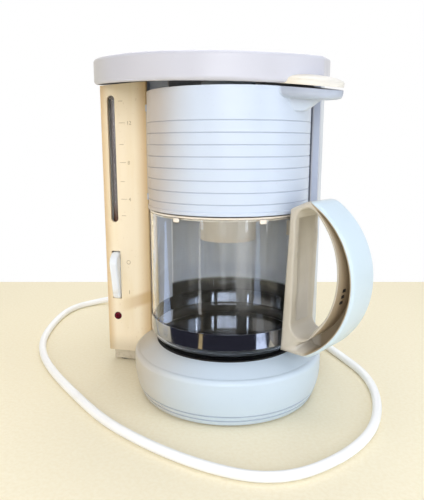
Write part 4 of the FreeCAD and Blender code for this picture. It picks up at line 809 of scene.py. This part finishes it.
def in_handle_plane(reach, across, height):
    """A place given from the brewing axis along the handle, across it and up, all in millimetres."""
    x = reach * math.cos(HANDLE_AZIMUTH) - across * math.sin(HANDLE_AZIMUTH)
    y = reach * math.sin(HANDLE_AZIMUTH) + across * math.cos(HANDLE_AZIMUTH)
    return Vector((x, y, height)) * MM


def hollow_handle(material):
    """A copy of the handle's solid, with the long hollow that is open on the near side of the grip."""
    crescent = on_arc(GRIP_OUTSIDE, GRIP_OUTSIDE_RADIUS - GRIP_OUTER_WALL, *HOLLOW_OUTER_ARC)
    crescent += HOLLOW_FOOT
    crescent += on_arc(GRIP_INSIDE, GRIP_INSIDE_RADIUS + GRIP_INNER_WALL, *HOLLOW_INNER_ARC)
    near = HANDLE_NEAR_SIDE - HOLLOW_CLEAR
    outline = [in_handle_plane(reach, near, height) for reach, height in crescent]
    cutter = slab(outline, in_handle_plane(0, HOLLOW_DEPTH + HOLLOW_CLEAR, 0))
    return copied_solid("carafe_handle", cutter, "hollow_handle", "carafe", material)


def grip_vents(material):
    """Three short dark slots on the inner wall of the grip, deep in its hollow."""
    slots = []
    for height in GRIP_VENTS_Z:
        rise = height - GRIP_INSIDE[1]
        reach = GRIP_INSIDE[0] + math.sqrt((GRIP_INSIDE_RADIUS + GRIP_INNER_WALL) ** 2 - rise ** 2)
        centre = mm(reach, HANDLE_NEAR_SIDE + GRIP_VENT_INSET, height)
        slots.append(turned(rounded_bar(centre, GRIP_VENT_SIZE, GRIP_VENT_EDGE), -HANDLE_AZIMUTH))
    return settle(joined(slots), "grip_vents", "carafe", material)


def trimmed_cover(material):
    """A copy of the solid of the jug's cover, its hidden skirt cut short so that the glass stays clear."""
    cutter = drum(SKIRT_OUTSIDE_RADIUS, SKIRT_CUT_DEPTH, SKIRT_CUT_Z)
    cut_from(cutter, drum(SKIRT_INSIDE_RADIUS, SKIRT_CORE_DEPTH, SKIRT_CUT_Z))
    return copied_solid("carafe_lid", cutter, "trimmed_cover", "carafe_cover", material)


def rim_lugs(material):
    """Small moulded lugs at the jug's rim, under which the cover locks when it is twisted."""
    lugs = []
    for azimuth in RIM_LUGS_AT:
        lug = rounded_bar(RIM_LUG_MIDDLE, RIM_LUG_SIZE, RIM_LUG_EDGE, 3)
        lugs.append(turned(lug, -math.radians(azimuth)))
    return settle(joined(lugs), "rim_lugs", "carafe", material)


# Lid, basket, base and tower

def lid_fall(x, y):
    """How far the crowned, sloping lid has dropped at a place in plan, in millimetres."""
    return y * math.tan(LID_SLOPE) - (x - LID_CROWN_X) ** 2 / (2 * LID_CROWN_RADIUS)


def bill(rings):
    """A leaf-shaped finger lip, drawn up ring by ring and then laid along the lid's edge."""
    deselect()
    bpy.ops.mesh.primitive_circle_add(vertices=LIP_CORNERS, radius=1.0, fill_type="NOTHING")
    lip = bpy.context.object
    edit_all()
    width, level = rings[0]
    bpy.ops.transform.translate(value=(0, 0, level))
    for share, height in rings[1:]:
        bpy.ops.mesh.extrude_region_move(TRANSFORM_OT_translate={"value": (0, 0, height - level)})
        bpy.ops.transform.resize(value=(share / width, share / width, 1), center_override=(0, 0, height))
        width, level = share, height
    bpy.ops.mesh.fill_grid(span=LIP_SPAN)
    bpy.ops.mesh.select_all(action="DESELECT")
    bpy.ops.mesh.select_non_manifold()
    bpy.ops.mesh.fill_grid(span=LIP_SPAN)
    bpy.ops.mesh.select_all(action="SELECT")
    bpy.ops.mesh.normals_make_consistent(inside=False)
    bpy.ops.object.mode_set(mode="OBJECT")
    for vertex in lip.data.vertices:
        x = LIP_CENTRE[0] + LIP_HALF_LENGTH * vertex.co.x
        y = LIP_CENTRE[1] + LIP_HALF_WIDTH * vertex.co.y
        vertex.co = Vector((x, y, LID_EDGE_Z + vertex.co.z + lid_fall(x, y))) * MM
    return lip


def finger_lips(lid_material, basket_material):
    """The two leaf-shaped lips, the lid's arched over the basket's."""
    settle(bill(UPPER_LIP_RINGS), "lid_lip", "top_lid", lid_material, SOFT_ANGLE)
    settle(bill(LOWER_LIP_RINGS), "basket_lip", "basket", basket_material, SOFT_ANGLE)


def cone_ribs(material):
    """Ribs inside the filter cone that keep the paper off its wall."""
    ribs = []
    for i in range(CONE_RIBS):
        rib = rounded_bar(CONE_RIB_MIDDLE, CONE_RIB_SIZE, CONE_RIB_EDGE)
        edit_all()
        bpy.ops.transform.rotate(value=-CONE_LEAN, orient_axis="Y", center_override=CONE_RIB_MIDDLE)
        ribs.append(turned(rib, 2 * math.pi * i / CONE_RIBS))
    return settle(joined(ribs), "cone_ribs", "basket", material)


def bottom_screws(material):
    """Cross-head screws that hold the bottom plate, seen from below."""
    screws = []
    for x, y in SCREWS_AT:
        deselect()
        bpy.ops.mesh.primitive_cylinder_add(radius=SCREW_HEAD_RADIUS, depth=SCREW_HEAD_DEPTH,
                                            vertices=SCREW_HEAD_CORNERS, location=(x, y, SCREW_HEAD_Z))
        screws.append(round_edges(SCREW_HEAD_EDGE, 2))
        for size in SCREW_CROSS_SIZES:
            screws.append(rounded_bar((x, y, SCREW_CROSS_Z), size, SCREW_CROSS_EDGE, 1))
    return settle(joined(screws), "bottom_screws", "machine", material)


def back_vents(material):
    """Row of black vent slots low on the back wall."""
    slots = rounded_row(VENT_FIRST, VENT_STEP, VENTS, VENT_SIZE, VENT_EDGE)
    return settle(joined(slots), "back_vents", "machine", material)


# Mains lead

def plug_ridges(material):
    """Finger ridges on the plug's upper broad side."""
    ridges = rounded_row(PLUG_RIDGE_FIRST, PLUG_RIDGE_STEP, PLUG_RIDGES, PLUG_RIDGE_SIZE, PLUG_RIDGE_EDGE)
    return settle(joined(ridges), "plug_ridges", "machine", material)


def mains_lead(material, ridges):
    """The white lead on one smooth curve from the strain relief round the front to the plug."""
    curve = bpy.data.curves.new("mains_lead", "CURVE")
    curve.dimensions = "3D"
    spline = curve.splines.new("NURBS")
    spline.points.add(len(CORD_ROUTE) - 1)
    for point, place in zip(spline.points, CORD_ROUTE):
        point.co = (*mm(*place), 1.0)
    spline.order_u = 3
    spline.use_endpoint_u = True
    spline.resolution_u = 12
    curve.bevel_depth = CORD_RADIUS
    curve.bevel_resolution = 6
    curve.use_fill_caps = True
    curve.materials.append(material)
    lead = bpy.data.objects.new("mains_lead", curve)
    bpy.context.scene.collection.objects.link(lead)
    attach(lead, "machine")
    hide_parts("mains_cord")
    return lead


# Studio

CAMERA_PLACE = (0.1010, -0.4752, 0.2314)
CAMERA_HEADING = (-0.2374, 0.9714)
CAMERA_DIP = math.radians(11.28)
CAMERA_LENS = 38.25       # millimetres, as is the sensor's width
CAMERA_SENSOR = 36.0
TABLE_REACH = 0.881       # from the camera to the far edge of the table top
TABLE_SIZE = (4.0, 2.2)
ROOM_AMBIENT = 0.35       # light of the white room on everything
ROOM_FRONT = 0.15         # how bright the room behind the camera is in mirrors and glass
ROOM_TURN = 0.3           # how softly the room changes from its front half to its back half

# Lamps: name, place, height aimed at on the brewing axis, width and height, watts, colour
LAMPS = [
    ("window_front", (0.3, -1.3, 0.6), 0.16, (0.8, 0.8), 9.0, "#F2F6FF"),
    ("window_right", (1.1, -0.3, 0.5), 0.16, (0.6, 0.8), 2.4, "#DCEAFF"),
    ("fill_left", (-0.9, -0.7, 0.5), 0.16, (0.8, 0.8), 2.0, "#FFF0DA"),
    ("overhead", (0.0, 0.1, 1.3), 0.2, (1.0, 1.0), 7.0, "#FFFFFF"),
    ("fill_back", (-0.35, 1.2, 0.8), 0.16, (0.9, 0.9), 5.0, "#FFFFFF"),
    ("strip_left", (-0.42, -0.95, 0.30), 0.14, (0.05, 0.7), 0.9, "#EAF3FF"),
    ("strip_right", (0.62, -0.80, 0.30), 0.14, (0.07, 0.7), 1.1, "#EAF3FF"),
    ("strip_edge", (0.93, -0.375, 0.32), 0.2, (0.04, 0.8), 0.9, "#F4F8FF"),
]

# Cards that only bright metal and glass mirror: name, place, size, degrees turned, colour, glow
CARDS = [
    ("black_card", (0.02, -0.30, 0.0005), (0.95, 0.41), 0.0, "#8F8FA8", 0.15),
    ("white_strip", (0.205, -0.146, 0.0015), (0.20, 0.055), -35.0, "#DCE8FF", 2.0),
    ("tan_strip", (-0.096, -0.250, 0.0015), (0.22, 0.020), 69.0, "#D8BE8C", 1.2),
    ("glass_streak_left", (-0.74, -0.062, 0.0015), (0.95, 0.09), 0.0, "#BFD6FF", 6.0),
    ("glass_streak_thin", (-0.365, -0.733, 0.0015), (0.95, 0.03), 61.7, "#FFFFFF", 8.0),
    ("glass_streak_right", (0.695, -0.515, 0.0015), (0.95, 0.075), -34.7, "#C4DAFF", 7.5),
]


def staged_plane(name, place, turn, size, material):
    """A flat sheet of the studio, which is not part of the machine."""
    deselect()
    bpy.ops.mesh.primitive_plane_add(size=1.0, location=place, rotation=(0, 0, turn))
    sheet = bpy.context.object
    sheet.scale = (size[0], size[1], 1)
    fix_place()
    sheet.name = name
    sheet.data.materials.append(material)
    return sheet


def pale_table():
    """A plain pale table top that ends behind the machine."""
    material, tree, shader, place = start_material("pale_table_top")
    grain = clouds(tree, place, size_mm=3.0, low=0.3, high=0.7, most=0.5)
    colour = stain(tree, "#F8EFD5", "#F1E5C5", grain)
    connect(tree, shader, {"Base Color": colour, "Roughness": 0.9, "Specular IOR Level": 0.0})
    ahead = Vector((*CAMERA_HEADING, 0))
    centre = Vector((CAMERA_PLACE[0], CAMERA_PLACE[1], 0)) + ahead * (TABLE_REACH - TABLE_SIZE[1] / 2)
    staged_plane("table_top", centre, math.atan2(-ahead.x, ahead.y), TABLE_SIZE, material)


def mirror_card(name, place, size, turn_deg, colour, glow):
    """A glowing card that is hidden from the camera and from all light but mirrored light."""
    material, tree, shader, _ = start_material(name)
    connect(tree, shader, {"Base Color": "#050505", "Specular IOR Level": 0.0, "Roughness": 1.0,
                           "Emission Color": colour, "Emission Strength": glow})
    card = staged_plane(name, place, math.radians(turn_deg), size, material)
    card.visible_camera = False
    card.visible_diffuse = False
    card.visible_transmission = False
    card.visible_shadow = False


def soft_light(name, place, aim_z, size, watts, colour):
    """A soft rectangular lamp that looks at the machine."""
    lamp = bpy.data.lights.new(name, "AREA")
    lamp.shape = "RECTANGLE"
    lamp.size, lamp.size_y = size
    lamp.energy = watts
    lamp.color = srgb(colour)[:3]
    holder = bpy.data.objects.new(name, lamp)
    bpy.context.scene.collection.objects.link(holder)
    holder.location = place
    holder.rotation_euler = (Vector((0, 0, aim_z)) - Vector(place)).to_track_quat("-Z", "Y").to_euler()


def white_room():
    """A white backdrop that lights all sides weakly. Mirrors and glass show it darker behind the camera."""
    world = bpy.data.worlds.new("studio_white")
    bpy.context.scene.world = world
    world.use_nodes = True
    tree = world.node_tree
    direction = add(tree, "TexCoord", {}, gives="Generated")
    toward_back = add(tree, "SeparateXYZ", {"Vector": direction}, gives="Y")
    room = add(tree, "MapRange", {"Value": toward_back, "From Min": -ROOM_TURN, "From Max": ROOM_TURN,
                                  "To Min": ROOM_FRONT, "To Max": 1.0})
    glossy = add(tree, "LightPath", {}, gives="Is Glossy Ray")
    through = add(tree, "LightPath", {}, gives="Is Transmission Ray")
    seen = add(tree, "LightPath", {}, gives="Is Camera Ray")
    mirrored = add(tree, "Math", {0: glossy, 1: through}, operation="MAXIMUM")
    strength = add(tree, "Mix", {"Factor": mirrored, "A": ROOM_AMBIENT, "B": room}, data_type="FLOAT")
    strength = add(tree, "Math", {0: seen, 1: strength}, operation="MAXIMUM")
    connect(tree, tree.nodes["Background"], {"Color": "#FFFFFF", "Strength": strength})


def studio():
    """Table, mirror cards, soft window light with weak fills and narrow strips, and the white room."""
    pale_table()
    for card in CARDS:
        mirror_card(*card)
    for lamp in LAMPS:
        soft_light(*lamp)
    white_room()
    bpy.context.scene.view_settings.view_transform = "Standard"


def photo_camera():
    """The camera at the photograph's viewing angle."""
    camera = bpy.data.cameras.new("photo_camera")
    camera.lens = CAMERA_LENS
    camera.sensor_width = CAMERA_SENSOR
    camera.clip_start = 0.01
    holder = bpy.data.objects.new("photo_camera", camera)
    bpy.context.scene.collection.objects.link(holder)
    holder.location = CAMERA_PLACE
    level = math.cos(CAMERA_DIP)
    aim = Vector((CAMERA_HEADING[0] * level, CAMERA_HEADING[1] * level, -math.sin(CAMERA_DIP)))
    holder.rotation_euler = aim.to_track_quat("-Z", "Y").to_euler()
    bpy.context.scene.camera = holder


def main():
    """Finishes the solids, adds the detail pieces and sets up the studio."""
    materials = finish_solids()
    ink = printed_ink("grey_ink", "#B59F78")
    mains_lead(materials["pvc"], plug_ridges(materials["pvc"]))
    hollow_handle(materials["handle"])
    grip_vents(materials["dark"])
    trimmed_cover(materials["cover"])
    finger_lips(lip_abs(), materials["basket"])
    rounded_rocker(materials["rocker"])
    level_scale(ink)
    switch_marks(ink)
    rim_lugs(materials["cover"])
    cone_ribs(materials["tank"])
    bottom_screws(materials["steel"])
    back_vents(materials["dark"])
    studio()
    photo_camera()


main()
